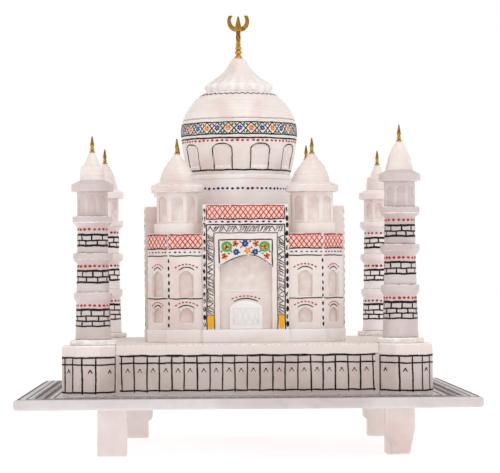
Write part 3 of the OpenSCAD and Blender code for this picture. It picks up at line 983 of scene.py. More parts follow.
    def scribble(self, canvas: Canvas, start: Point, end: Point, breadth: float) -> None:
        """Fills a narrow band with leaning strokes and small hooks that stand for nothing.

        Args:
            canvas: The surface.
            start: The middle of the band's one end.
            end: The middle of its other end.
            breadth: The band's breadth.
        """
        along = (Vector(end) - Vector(start)).normalized()
        across = Vector((-along.y, along.x))
        span = math.dist(start, end)
        half = breadth * 0.42
        run = 0.9
        while run < span - 0.9:
            foot = Vector(start) + along * run
            lean = self.hand.uniform(0.6, 1.4) * (1 if self.hand.random() < 0.8 else -1)
            low, high = foot - across * half - along * lean, foot + across * half + along * lean
            bend = (low + high) / 2 + along * self.hand.uniform(-0.35, 0.35)
            pigment = Pigment.BLACK if self.hand.random() < 0.3 else Pigment.UMBER
            self.stroke(canvas, pigment, [tuple(low), tuple(bend), tuple(high)],
                        self.hand.uniform(0.42, 0.62),
                        self.hand.uniform(0.6, 1.0), 0.5, 0.03)
            hook = bend + across * half * self.hand.uniform(0.2, 0.9) - along * self.hand.uniform(0.5, 0.9)
            self.stroke(canvas, Pigment.UMBER, [tuple(high), tuple(hook), tuple(bend)], 0.42,
                        self.hand.uniform(0.5, 0.9), 0.4, 0.03)
            if self.hand.random() < 0.5:
                self.stroke(canvas, Pigment.UMBER,
                            [tuple(low), tuple(bend - across * half * 0.6 + along * 0.7)], 0.4,
                            self.hand.uniform(0.4, 0.8), 0.4, 0.03)
            run += self.hand.uniform(1.25, 1.95)

    def dry(self) -> None:
        """Turns the gathered strokes into pieces that ride on the body."""
        for pigment, film in self.films.items():
            bmesh.ops.scale(film, verts=film.verts, vec=(MM,) * 3)
            name = f"paint_{self.name}_{pigment.name.lower()}"
            data = bpy.data.meshes.new(name)
            film.to_mesh(data)
            film.free()
            data.materials.append(FINISHES.paint(pigment))
            piece = bpy.data.objects.new(name, data)
            bpy.context.scene.collection.objects.link(piece)
            thickness = piece.modifiers.new("film", "SOLIDIFY")
            thickness.thickness = self.FILM * MM
            thickness.offset = -1
            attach(piece, self.body)
            LOG.info("%s on %s: %d faces", name, self.body, len(data.polygons))


# ---- sub-assemblies ----


@dataclass
class Stand:
    """The square slab on its four legs."""

    edge_ease: float = 1.9
    leg_ease: float = 0.9
    border: tuple[float, float] = (2.8, 7.0)
    vine_middle: float = 14.0
    vine_pitch: float = 2.2
    inner_line: float = 21.2
    foot_line: float = 31.8

    def carve(self) -> None:
        """Works the slab and the legs."""
        # The slab takes the darker shaded copy of the marble: painted shade.
        marble = FINISHES.marble(MARBLE_SHADED_SLAB)
        slab = hewn("stand_slab", self.edge_ease, 3.0, 5)
        mark_edges(slab, 16, 34)
        STONE.set_down(slab, "slab", "root", marble, ["stand_slab"], 40)
        for i, corner in enumerate(Corner):
            node = f"stand_leg_{corner.label}"
            leg = hewn(node, self.leg_ease, 2.0)
            mark_edges(leg, 22, 48)
            roughen(leg, 0.12, 0.2, 5.0 + i)
            box = Extent.of(node)
            for vert in leg.verts:
                vert.co.z = min(max(vert.co.z, box.low.z), box.high.z)
            STONE.set_down(leg, f"leg_{corner.label}", "root", FINISHES.marble(MARBLE_HEWN),
                           [node], 40)

    def paint(self) -> None:
        """Paints the vine border on the slab's top."""
        brush = Brushwork("slab", "root", 11)
        box = Extent.of("stand_slab")
        half = box.high.x
        surface = STONE.surfaces["slab"]
        for side in Side:
            turn = Matrix.Rotation(math.radians(side.value), 3, "Z")
            canvas = FlatCanvas(turn @ Vector((0, -half, box.high.z)), turn @ Vector((1, 0, 0)),
                                turn @ Vector((0, 1, 0)), surface, 6.0)
            for inset, width in ((self.border[0], 1.0), (self.border[1], 0.8), (self.inner_line, 0.8)):
                self._line(brush, canvas, half - inset, inset, width)
            self._line(brush, canvas, Extent.of("terrace_wall_front").high.x - 1, self.foot_line, 0.8)
            self._vine(brush, canvas, half - self.vine_middle)
        brush.dry()

    def _line(self, brush: Brushwork, canvas: FlatCanvas, reach: float, inset: float, width: float) -> None:
        """Draws a border line in three strokes that overlap a little."""
        stops = [-reach, -reach / 3, reach / 3, reach]
        for start, end in zip(stops, stops[1:]):
            brush.stroke(canvas, Pigment.BLACK, [(start - 0.4, inset), (end + 0.4, inset)], width, 0.85,
                         0.15, 0.12)

    def _vine(self, brush: Brushwork, canvas: FlatCanvas, reach: float) -> None:
        """Draws a waving stem with a leaf pair and a tendril in each bend."""
        wave, sway = 13.0, 3.0
        count = round(2 * reach / wave)
        wave = 2 * reach / count
        fine = canvas.moved(Vector())
        fine.pitch = self.vine_pitch
        stem = [
            (-reach + wave * i / 8, self.vine_middle + sway * math.sin(math.tau * i / 8))
            for i in range(8 * count + 1)
        ]
        for start in range(0, len(stem) - 1, 16):
            brush.stroke(fine, Pigment.BLACK, stem[start:start + 17], 0.75, 0.7, 0.1, 0.06)
        for i in range(2 * count):
            u = -reach + wave * (i / 2 + 0.25)
            up = 1 if i % 2 else -1
            v = self.vine_middle + up * sway * 0.2
            for lean in (-38, 0, 38):
                away = math.radians(90 * up + lean)
                brush.dab(fine, Pigment.BLACK, u + 2.6 * math.cos(away), v + 2.6 * math.sin(away), 3.2, 1.15,
                          math.degrees(away), 0.62)
            curl = [
                (u + 1.6 * math.cos(a), self.vine_middle - up * 3.6 + 1.4 * math.sin(a))
                for a in (0.4, 1.4, 2.4, 3.4, 4.4, 5.2)
            ]
            brush.stroke(fine, Pigment.SEPIA, curl, 0.5, 0.6, 0.4, 0.03)


@dataclass
class Terrace:
    """The walled terrace with its deck, its corner bastions and the steps under the minarets."""

    wall_lines: tuple[float, ...] = (56.2, 52.3, 37.0)
    stake_pitch: float = 7.0
    stakes: int = 21
    chevron_z: float = 48.2
    scallop_pitch: float = 2.9
    scallop_depth: float = 1.5
    ring_pitch: float = 0.7
    stake_angles: tuple[float, ...] = (-156.0, -106.0, -78.4, -57.9, -34.1, -11.6, 16.0, 66.0)
    chevron_angles: tuple[float, ...] = (-141.8, -94.7, -46.0, 4.7, 51.8)

    def carve(self) -> None:
        """Works the walls, deck, bastions and steps."""
        # The terrace stone is painted paler above the top wall line: painted light on the tops.
        marble = FINISHES.marble(MARBLE_TERRACE)
        for side in Side:
            node = f"terrace_wall_{side.name.lower()}"
            wall = hewn(node, 2.0, 0.6, 4)
            mark_edges(wall, 14, 24)
            self._scallop(wall, side)
            STONE.set_down(wall, node.replace("terrace_", ""), "root", marble, [node], 50)
        deck = hewn("terrace_deck", 0.3, 4.0, 2)
        mark_edges(deck)
        STONE.set_down(deck, "deck", "root", marble, ["terrace_deck"])
        for i, corner in enumerate(Corner):
            node = f"bastion_{corner.label}"
            tower = hewn(node, 1.5, 1.2, 4)
            mark_edges(tower, 10, 20)
            chip(tower, 0.7, 0.5, 9.0 + i, 0.05)
            STONE.set_down(tower, f"tower_{corner.label}", "root", marble, [node], 36)
        steps = hewn("bastion_steps", 0.6, 1.2, 3)
        mark_edges(steps, 10, 20)
        chip(steps, 0.6, 0.5, 2.0, 0.05)
        STONE.set_down(steps, "minaret_steps", "root", marble, ["bastion_steps"], 36)

    def _scallop(self, wall: BMesh, side: Side) -> None:
        """Nibbles a row of shallow scallops along the wall's top outer edge.

        Args:
            wall: The wall's mesh, with its edges marked.
            side: Which wall it is.
        """
        wear = wall.verts.layers.float["wear"]
        turn = Matrix.Rotation(math.radians(-side.value), 3, "Z")
        face = -Extent.of("terrace_wall_front").low.y
        top = Extent.of("terrace_wall_front").high.z
        back = turn.transposed()
        for vert in wall.verts:
            local = turn @ vert.co
            if vert[wear] < 0.3 or local.z < top - 3 or local.y > -face + 3:
                continue
            shake = noise.noise(Vector((local.x * 0.35, side.value, 0)))
            phase = (local.x / self.scallop_pitch + 0.35 * shake) % 1
            bite = 1 - abs(2 * phase - 1)
            depth = self.scallop_depth * (0.8 + 0.6 * shake) * bite
            vert.co += back @ (Vector((0, 0.9, -0.75)) * max(depth, 0.0) * vert[wear])

    def paint(self) -> None:
        """Paints the palisade on the walls and round the bastions."""
        brush = Brushwork("terrace", "root", 21)
        face = -Extent.of("terrace_wall_front").low.y
        reach = Extent.of("terrace_wall_front").high.x
        for side in Side:
            canvas = FlatCanvas.upright(side.value, face, STONE.surfaces[f"wall_{side.name.lower()}"])
            self._wall(brush, canvas, reach)
        for corner in Corner:
            self._bastion(brush, corner)
        brush.dry()

    def _wall(self, brush: Brushwork, canvas: FlatCanvas, reach: float) -> None:
        """Paints one wall between its bastions."""
        for z in self.wall_lines:
            stops = [-reach, -reach / 2, 0, reach / 2, reach]
            for start, end in zip(stops, stops[1:]):
                brush.stroke(canvas, Pigment.BLACK, [(start, z), (end, z)], 0.9, 0.95, 0.15, 0.14)
        for start, end in ((-reach, -8), (-14, reach)):
            brush.stroke(canvas, Pigment.BLACK,
                         [(start, self.wall_lines[0] + 0.45), (end, self.wall_lines[0] + 0.4)],
                         0.5, 0.6, 0.3, 0.2)
        middle = (self.stakes - 1) / 2
        for i in range(self.stakes):
            u = (i - middle) * self.stake_pitch + brush.hand.gauss(0, 0.15)
            lean = brush.hand.gauss(0, 0.12)
            foot = self.wall_lines[-1] - brush.hand.uniform(-0.2, 1.3)
            brush.stroke(canvas, Pigment.BLACK, [(u - lean, foot), (u + lean, self.wall_lines[0])],
                         brush.hand.uniform(0.7, 0.95), brush.hand.uniform(0.75, 1.0), 0.2, 0.07)
            if i < self.stakes - 1:
                self._chevron(brush, canvas, u + self.stake_pitch / 2 + brush.hand.gauss(0, 0.15), 1.25)

    def _chevron(self, brush: Brushwork, canvas: Canvas, u: float, half: float) -> None:
        """Paints one small arrow head, heavier at its point."""
        z = self.chevron_z + brush.hand.gauss(0, 0.12)
        for way in (-1, 1):
            brush.stroke(canvas, Pigment.BLACK, [(u, z + 0.9), (u + way * half, z - 1.1)], 0.7, 0.85, 0.45,
                         0.02)
        brush.dab(canvas, Pigment.BLACK, u, z + 0.8, 1.0, 0.9, load=1.0, points=6)

    def _bastion(self, brush: Brushwork, corner: Corner) -> None:
        """Paints the outward side of one bastion, from wall to wall.

        Angles are drawn for the front left bastion, in degrees from its front, and mirrored.
        """
        sign_x, sign_y = corner.value
        box = Extent.of(f"bastion_{corner.label}")
        canvas = RoundCanvas(box.middle.x, box.middle.y, box.size.x / 2,
                             STONE.surfaces[f"tower_{corner.label}"],
                             self.ring_pitch)

        def along(degrees: float) -> float:
            mirrored = -degrees * sign_x if sign_y < 0 else 180 + degrees * sign_x
            return canvas.radius * math.radians(mirrored)

        for z, width in zip(self.wall_lines, (1.0, 0.85, 0.95)):
            stops = [along(degrees) for degrees in (-157, -112, -67, -22, 22, 67)]
            for start, end in zip(stops, stops[1:]):
                sag = z - 0.5 + brush.hand.gauss(0, 0.12)
                brush.stroke(canvas, Pigment.BLACK,
                             [(start, z - 0.4), ((start + end) / 2, sag), (end, z - 0.4)],
                             width, 0.95, 0.05, 0.08)
        for degrees in self.stake_angles:
            u = along(degrees)
            foot = self.wall_lines[-1] - 0.4 - brush.hand.uniform(0, 1.2)
            brush.stroke(canvas, Pigment.BLACK,
                         [(u, foot), (u + brush.hand.gauss(0, 0.2), self.wall_lines[0] - 0.4)],
                         brush.hand.uniform(0.7, 0.95), 0.95, 0.2, 0.06)
        for degrees in self.chevron_angles:
            self._chevron(brush, canvas, along(degrees), 1.2)


@dataclass
class Building:
    """The square hall with its chamfered corners, its four portals and its painted panels."""

    band: tuple[float, float] = (116.3, 124.3)
    window_arcs: tuple[float, float] = (104.9, 83.2)
    window_sides: tuple[tuple[float, float], ...] = ((89.6, 102.4), (74.8, 81.6))
    portal_dots: float = 131.6
    door_arc: float = 87.0
    portal_band: tuple[float, float] = (133.1, 140.8)
    blue_row: float = 114.3
    panel_line: float = 112.2
    middle_line: float = 87.7
    frame_out: float = 22.4
    frame_in: float = 18.1
    window_x: float = 34.0
    chamfer_leg: float = 11.5
    net_mesh: tuple[float, float] = (2.95, 3.9)
    door_ribs: int = 4

    def carve(self) -> None:
        """Works the plinth, the hall, the portals and the doors."""
        # The plinth, doors and door lattice take the pale lit copy of the marble: painted light.
        marble, lit_pale = FINISHES.marble(MARBLE_HEWN), FINISHES.marble(MARBLE_LIT_PALE)
        work = {"building_plinth": ("plinth", 0.5, 2.5), "building_block": ("hall", 0.4, 2.0),
                "portal_doors": ("doors", 0.7, 1.5)}
        for side in Side:
            label = side.name.lower()
            work[f"portal_{label}"] = (f"portal_slab_{label}", 0.5, 1.6)
        for i, (node, (name, ease, pitch)) in enumerate(work.items()):
            piece = hewn(node, ease, pitch, 3)
            mark_edges(piece, 20, 40)
            chip(piece, 0.35, 0.45, 13.0 + i, 0.1)
            bright = name in ("plinth", "doors")
            STONE.set_down(piece, name, "root", lit_pale if bright else marble, [node], 36)
        self._carve_door_lattice(lit_pale)

    def _carve_door_lattice(self, marble: bpy.types.Material) -> None:
        """Carves the low lattice and the frame on each door, and the ledge over it."""
        door = Extent.of("portal_doors")
        niche_face = -Extent.of("portal_front").low.y - 3.8
        left, right, low, high = -7.2, 7.2, door.low.z + 3.0, door.low.z + 12.0
        bars = [((left, low), (right, low)), ((left, high), (right, high)), ((left, low), (left, high)),
                ((right, low), (right, high))]
        for i in range(self.door_ribs):
            share = (i + 0.5) / self.door_ribs
            u = left + (right - left) * share
            reach = (right - left) / self.door_ribs / 2
            bars += [((u - reach, low), (u + reach, high)), ((u + reach, low), (u - reach, high))]
        whole = bmesh.new()
        for side in Side:
            turn = Matrix.Rotation(math.radians(side.value), 4, "Z")
            for (u0, v0), (u1, v1) in bars:
                length = math.dist((u0, v0), (u1, v1))
                lean = Matrix.Rotation(-math.atan2(v1 - v0, u1 - u0), 4, "Y")
                face = Matrix.Translation(((u0 + u1) / 2, door.low.y, (v0 + v1) / 2))
                self._bar(whole, turn @ face @ lean, (length + 0.4, 0.34, 0.6))
            ledge = Matrix.Translation((0, -niche_face, door.high.z + 5.6))
            self._bar(whole, turn @ ledge, (26.0, 0.5, 0.8))
        mark_edges(whole, 40, 80)
        STONE.set_down(whole, "door_lattice", "root", marble, (), 40)

    def _bar(self, mesh: BMesh, place: Matrix, size: tuple[float, float, float]) -> None:
        """Adds one eased bar, given its place and its length, depth and height."""
        made = bmesh.ops.create_cube(mesh, size=1.0, matrix=place @ Matrix.Diagonal((*size, 1.0)))["verts"]
        edges = list({edge for vert in made for edge in vert.link_edges})
        bmesh.ops.bevel(mesh, geom=edges, offset=0.12, offset_type="OFFSET", affect="EDGES", segments=2,
                        profile=0.5, material=-1)

    def paint(self) -> None:
        """Paints the portals, the wings and the chamfered corners."""
        box = Extent.of("building_block")
        wing = box.high.x
        corner_x = wing - self.chamfer_leg
        chamfer = (2 * wing - self.chamfer_leg) / math.sqrt(2)
        portal = Extent.of("portal_front")
        for i, side in enumerate(Side):
            label = side.name.lower()
            brush = Brushwork(f"portal_{label}", "root", 31 + i)
            canvas = FlatCanvas.upright(side.value, -portal.low.y, STONE.surfaces[f"portal_slab_{label}"])
            canvas.pitch = 2.0
            self._portal(brush, canvas, portal)
            brush.dry()
            brush = Brushwork(f"wings_{label}", "root", 41 + i)
            canvas = FlatCanvas.upright(side.value, wing, STONE.surfaces["hall"])
            for way in (-1, 1):
                near, far = portal.high.x + 0.2, corner_x + 0.1
                ends = sorted((way * near, way * far))
                self._panel(brush, canvas, way * self.window_x, ends[0], ends[1], 6.4)
                brush.dash_row(canvas, Pigment.BLACK, (way * (corner_x - 0.7), 70.6),
                               (way * (corner_x - 0.7), 111.2), 4.15, 2.5, 1.0)
            bevelled = FlatCanvas.upright(side.value + 45, chamfer, STONE.surfaces["hall"])
            self._panel(brush, bevelled, 0.0, -8.05, 8.05, 4.4)
            brush.dry()

    def _panel(self, brush: Brushwork, canvas: FlatCanvas, centre: float, left: float, right: float,
               arc_half: float) -> None:
        """Paints one wall panel with its two windows.

        Args:
            brush: The brushwork.
            canvas: The wall.
            centre: The windows' middle.
            left: The panel's one side.
            right: The panel's other side.
            arc_half: Half the span of the dashes over a window.
        """
        low, high = self.band
        brush.stroke(canvas, Pigment.CRIMSON, [(left, high), (right, high)], 0.75, 0.75, 0.2, 0.12)
        brush.stroke(canvas, Pigment.BLACK, [(left, low), (right, low)], 0.75, 0.75, 0.2, 0.12)
        brush.net(canvas, left, right, low + 0.2, high - 0.2, *self.net_mesh, 0.6)
        brush.dash_row(canvas, Pigment.BLUE, (left + 0.4, self.blue_row), (right - 0.4, self.blue_row),
                       2.7, 1.5, 0.85)
        brush.stroke(canvas, Pigment.BLACK, [(left, self.panel_line), (right, self.panel_line)], 0.65, 0.8,
                     0.2, 0.12)
        brush.stroke(canvas, Pigment.BLACK, [(left, self.middle_line), (right, self.middle_line)],
                     0.65, 0.8, 0.2, 0.14)
        for foot in self.window_arcs:
            brush.arc(canvas, Pigment.RED, centre, foot, arc_half * 1.1, 2.5, 0.95, dashes=7)
            brush.arc(canvas, Pigment.BLACK, centre, foot - 0.9, arc_half * 0.7, 1.7, 0.6)
        self._sills(brush, canvas, centre)

    def _sills(self, brush: Brushwork, canvas: FlatCanvas, centre: float) -> None:
        """Shades the two window openings' sides with a thin wash."""
        for foot, top in self.window_sides:
            for way in (-1, 1):
                brush.stroke(canvas, Pigment.SEPIA, [(centre + way * 3.95, foot), (centre + way * 3.95, top)],
                             0.35, 0.22, 0.5, 0.05)

    def _portal(self, brush: Brushwork, canvas: FlatCanvas, box: Extent) -> None:
        """Paints one portal from its lattice down to its door."""
        edge = box.high.x - 0.75
        foot = box.low.z
        low, high = self.portal_band
        out = self.frame_out
        for way in (-1, 1):
            brush.dash_row(canvas, Pigment.BLACK, (way * edge, foot + 0.8), (way * edge, high - 0.6), 4.4,
                           3.2, 1.6, 1.0)
            brush.stroke(canvas, Pigment.BLACK, [(way * out, high + 0.3), (way * out, low)], 0.6, 0.8, 0.2,
                         0.08)
        brush.stroke(canvas, Pigment.CRIMSON, [(-out, high), (0, high), (out, high)], 0.6, 0.7, 0.2, 0.12)
        brush.stroke(canvas, Pigment.BLACK, [(-out, low), (0, low), (out, low)], 0.7, 0.8, 0.2, 0.12)
        brush.net(canvas, -out + 0.2, out - 0.2, low + 0.2, high - 0.2, *self.net_mesh, 0.62)
        brush.dash_row(canvas, Pigment.BLUE, (-out + 0.5, self.portal_dots), (out - 0.5, self.portal_dots),
                       3.25, 1.9, 1.05, 0.95)
        self._frame(brush, canvas, foot)
        self._spandrel(brush, canvas)
        brush.arc(canvas, Pigment.RED, 0.0, self.door_arc, 8.7, 2.1, 0.85, dashes=8)
        brush.arc(canvas, Pigment.BLACK, 0.0, self.door_arc - 1.1, 7.0, 1.7, 0.6)

    def _frame(self, brush: Brushwork, canvas: FlatCanvas, foot: float) -> None:
        """Paints the hatched frame round a portal's niche, on its yellow blocks."""
        out, inner = self.frame_out, self.frame_in
        top_out, top_in, block = 129.9, 125.2, 78.0
        middle = (out + inner) / 2
        brush.stroke(canvas, Pigment.BLACK, [(-out, top_out), (0, top_out), (out, top_out)], 0.75, 0.85, 0.2,
                     0.1)
        brush.stroke(canvas, Pigment.SEPIA, [(-inner, top_in), (0, top_in), (inner, top_in)], 0.65, 0.8, 0.2,
                     0.1)
        brush.scribble(canvas, (-out + 0.6, (top_out + top_in) / 2), (out - 0.6, (top_out + top_in) / 2), 3.9)
        for way in (-1, 1):
            brush.scribble(canvas, (way * middle, block + 0.4), (way * middle, top_in), out - inner - 0.5)
            for u, ink in ((out, Pigment.BLACK), (inner, Pigment.SEPIA)):
                stops = [foot, foot + 20, foot + 40, top_out if u == out else top_in]
                for start, end in zip(stops, stops[1:]):
                    brush.stroke(canvas, ink, [(way * u, start - 0.2), (way * u, end + 0.2)], 0.7, 0.85, 0.1,
                                 0.1)
            brush.stroke(canvas, Pigment.YELLOW, [(way * middle, foot + 1.4), (way * middle, block)],
                         out - inner - 0.9, 1.0, 0.0, 0.02)
            brush.dab(canvas, Pigment.YELLOW, way * middle, foot + 1.4, out - inner - 1.0, 2.4, 0.0, 1.0)
            brush.stroke(canvas, Pigment.BLACK, [(way * inner, block), (way * out, block)], 0.5, 0.7, 0.1,
                         0.04)

    def _spandrel(self, brush: Brushwork, canvas: FlatCanvas) -> None:
        """Paints the flowers over a portal's arch, inside their thin frame."""
        half, top, spring, apex, point = 15.2, 121.3, 106.7, 112.6, 2.2
        outline = [(-half, spring - 2.6), (-half, top), (half, top), (half, spring - 1.2)]
        for start, end in zip(outline, outline[1:]):
            brush.stroke(canvas, Pigment.UMBER, [start, end], 0.75, 0.95, 0.15, 0.1)
        for way in (-1, 1):
            reach = half - 0.6 + way * -point
            curve = [(point + way * reach * (1 - k / 6),
                      spring + (apex - spring) * math.sin(math.pi / 2 * k / 6))
                     for k in range(7)]
            brush.stroke(canvas, Pigment.BLACK, curve, 0.55, 0.95, 0.3, 0.04)
            self._garland(brush, canvas, way)
        brush.flower(canvas, Pigment.BLUE, Pigment.PALE_BLUE, -0.3, 119.0, 2.1, 7)
        brush.flower(canvas, Pigment.ORANGE, Pigment.YELLOW, 1.1, 115.1, 2.0, 5)
        for u, v in ((-2.6, 117.0), (3.4, 116.8), (-3.0, 120.0), (2.6, 120.2)):
            brush.dab(canvas, Pigment.GREEN, u, v, 1.6, 0.8, brush.hand.uniform(-60, 60), 0.9, 6)

    def _garland(self, brush: Brushwork, canvas: FlatCanvas, way: int) -> None:
        """Paints one half of the spandrel's garland; way is -1 for the left and 1 for the right."""
        ring = [
            (way * 10.8 + 2.5 * math.cos(math.tau * i / 12), 117.3 + 2.4 * math.sin(math.tau * i / 12))
            for i in range(13)
        ]
        brush.stroke(canvas, Pigment.LEAF, ring, 1.5, 1.0, 0.05, 0.04)
        for u, v, radius in ((10.8, 117.2, 1.9), (5.9, 119.0, 2.0), (12.1, 111.8, 2.0)):
            brush.flower(canvas, Pigment.ORANGE, Pigment.CRIMSON, way * u, v, radius, 5)
            for lean in (20, 140, 260):
                turn = math.radians(lean + way * 30)
                brush.dab(canvas, Pigment.CRIMSON, way * u + 1.25 * math.cos(turn), v + 1.25 * math.sin(turn),
                          0.95, 0.8, load=0.95, points=6, coat=2)
        brush.flower(canvas, Pigment.BLUE, Pigment.PALE_BLUE, way * 5.5, 114.3, 1.9, 7)
        for u, v, lean in ((8.2, 114.6, 40), (13.8, 114.6, -50), (9.6, 113.4, -10), (3.6, 113.9, 15)):
            brush.dab(canvas, Pigment.GREEN, way * u, v, 1.7, 0.8, way * lean, 0.9, 6)


@dataclass
class Dome:
    """The drum, the swelling dome and its lotus cap."""

    base_r: float = 30.2
    wide_h: float = 24.9
    curve: float = 30.4
    boss_r: float = 18.0
    windows: int = 9
    diamonds: int = 32
    diamond_band: tuple[float, float] = (183.6, 190.2)
    window_shift: float = math.radians(1.5)
    window_half: float = 5.9
    window_foot: float = 163.2
    window_spring: float = 175.0
    window_top: float = 177.6
    arch_power: float = 2.6
    petals: int = 20

    def __post_init__(self) -> None:
        """Reads the dome's levels and its axis from the frame."""
        box = Extent.of("main_dome")
        self.axis = Vector((box.middle.x, box.middle.y, 0))
        self.wide_r = box.size.x / 2
        self.top = box.high.z
        self.boss_foot = box.low.z
        self.foot = Extent.of("drum").high.z
        self.widest = self.foot + self.wide_h

    def radius_at(self, z: float) -> float:
        """The dome's radius at a height."""
        if z < self.widest:
            return self.wide_r - (self.wide_r - self.base_r) * (1 - (z - self.foot) / self.wide_h) ** 1.25
        return self.wide_r * math.sqrt(max(0.0, 1 - ((z - self.widest) / self.curve) ** 2))

    def carve(self) -> None:
        """Turns the drum, the dome and the cap."""
        marble = FINISHES.marble(MARBLE_TURNED)
        # The drum takes the pale lit copy of the marble: painted light.
        self._carve_drum(FINISHES.marble(MARBLE_LIT_PALE))
        self._carve_dome(marble)
        self._carve_cap(marble)

    def _carve_drum(self, marble: bpy.types.Material) -> None:
        """Turns the drum, with the socket that takes the dome's boss."""
        box = Extent.of("drum")
        lip, socket_r, socket_z = box.size.x / 2, self.boss_r + 0.1, self.boss_foot - 1
        profile = [(0, box.low.z), (lip - 0.4, box.low.z), (lip - 0.4, box.high.z - 2.4),
                   (lip, box.high.z - 2.4),
                   (lip, box.high.z), (socket_r, box.high.z), (socket_r, socket_z), (0, socket_z)]
        drum = turned(eased(profile, 0.35), (0, 0), 128, 2.5)
        mark_edges(drum)
        roughen(drum, 0.1, 0.12, 4.0)
        chip(drum, 0.25, 0.5, 4.0)
        bmesh.ops.translate(drum, verts=drum.verts, vec=self.axis)
        STONE.set_down(drum, "dome_drum", "root", marble, ["drum"], 40)

    def _carve_dome(self, marble: bpy.types.Material) -> None:
        """Turns the dome, rings its upper half and sinks the window panels."""
        rows = 96
        skin = [
            (self.radius_at(z), z)
            for z in (self.foot + (self.top - self.foot) * i / rows for i in range(rows + 1))
        ]
        profile = [(0, self.boss_foot), (self.boss_r, self.boss_foot), (self.boss_r, self.foot)]
        dome = turned(profile + skin + [(0, self.top)], (0, 0), 240, 4.0)
        mark_edges(dome, 20, 40)
        wear = dome.verts.layers.float["wear"]
        roughen(dome, 0.12, 0.08, 7.0)
        for vert in dome.verts:
            z, angle = vert.co.z, math.atan2(vert.co.y, vert.co.x)
            if math.hypot(vert.co.x, vert.co.y) < self.boss_r + 1 or z < self.foot + 0.2:
                continue
            rings = 0.15 * math.sin(z * 2.9 + 0.6 * math.sin(angle * 2)) * eased_step(z, 191.5, 194)
            sunk, rim = self._sunk(angle, z)
            # Panel rims get wear, which pales them: painted highlight, and bruising.
            vert[wear] = max(vert[wear], rim)
            vert.co -= vert.normal * (sunk + rings)
        bmesh.ops.translate(dome, verts=dome.verts, vec=self.axis)
        STONE.set_down(dome, "dome_shell", "dome", marble, ["main_dome"], 60)

    def _sunk(self, angle: float, z: float) -> tuple[float, float]:
        """How deep the dome's window panels are at a place, and how much wear it gets there, which pales the
        panel rims as painted highlight and bruising.

        Args:
            angle: Angle round the dome, in radians from +X.
            z: Height.

        Returns:
            Depth in millimetres, and wear from 0 to 1.
        """
        spacing = math.tau / self.windows
        off = ((angle + math.pi / 2 - self.window_shift) / spacing) % 1 - 0.5
        u = abs(off) * spacing * self.wide_r
        arch = self.window_spring + (self.window_top - self.window_spring) * (
            max(0.0, 1 - (u / self.window_half) ** self.arch_power)) ** 0.6
        inside = 1 - eased_step(u, self.window_half - 0.9, self.window_half)
        inside *= 1 - eased_step(z, arch - 0.8, arch)
        inside *= eased_step(z, self.window_foot + 0.4, self.window_foot + 2.6)
        return 0.75 * inside, 0.7 * (1 - abs(2 * inside - 1))

    def _carve_cap(self, marble: bpy.types.Material) -> None:
        """Turns the lotus cap and waves its rim into petals."""
        box = Extent.of("lotus_cap")
        rim, foot, top = box.size.x / 2, box.low.z, box.high.z
        rim_h, neck, crown = 4.5, 5.0, 3.2
        flare = [
            (neck + (rim - neck) * (1 - i / 16) ** 1.6, foot + rim_h + (top - 1.4 - foot - rim_h) * i / 16)
            for i in range(17)
        ]
        socket_r, socket_z = 1.5, top - 10
        profile = [(0, foot), (rim - 1, foot), (rim, foot + rim_h - 1.3), *flare, (crown, top),
                   (socket_r, top),
                   (socket_r, socket_z), (0, socket_z)]
        cap = turned(eased(profile, 0.4), (0, 0), 168, 1.2)
        mark_edges(cap)
        wear = cap.verts.layers.float["wear"]
        for vert in cap.verts:
            reach = math.hypot(vert.co.x, vert.co.y)
            if reach < neck or vert.co.z < foot + 0.1:
                continue
            angle = math.atan2(vert.co.y, vert.co.x)
            petal = abs(math.sin(angle * self.petals / 2 + 0.4))
            share = eased_step(reach, neck + 1, rim)
            dip = 0.35 * (1 - petal) ** 1.4 * share
            vert.co.x *= 1 - dip / reach
            vert.co.y *= 1 - dip / reach
            vert.co.z -= 0.5 * dip
            # Petal crests get wear, so they chip and are painted paler: painted highlight, and bruising.
            vert[wear] = max(vert[wear], 0.5 * share * petal)
        roughen(cap, 0.12, 0.35, 6.0)
        chip(cap, 0.4, 0.6, 6.0, 0.0)
        bmesh.ops.translate(cap, verts=cap.verts, vec=self.axis)
        STONE.set_down(cap, "lotus", "dome", marble, ["lotus_cap"], 50)

    def paint(self) -> None:
        """Paints the drum's dots and the dome's bands."""
        drum = Brushwork("drum", "root", 51)
        canvas = RoundCanvas(self.axis.x, self.axis.y, self.base_r, STONE.surfaces["dome_drum"])
        drum.dash_row(canvas, Pigment.BLUE, (0, 151.8), (canvas.girth, 151.8), 2.9, 1.7, 1.4, 1.0)
        drum.dry()
        brush = Brushwork("dome", "dome", 52)
        canvas = RoundCanvas(self.axis.x, self.axis.y, self.wide_r, STONE.surfaces["dome_shell"], 1.8)
        self._lines(brush, canvas)
        self._diamonds(brush, canvas)
        self._windows(brush, canvas)
        brush.dry()

    def _ring(self, brush: Brushwork, canvas: RoundCanvas, ink: Pigment, z: float, width: float,
              load: float) -> None:
        """Draws a ring round the dome in six strokes that overlap a little."""
        parts = 6
        for i in range(parts):
            start = canvas.girth * i / parts
            brush.stroke(canvas, ink, [(start - 0.6, z), (start + canvas.girth / parts + 0.6, z)],
                         width, load, 0.1, 0.1)

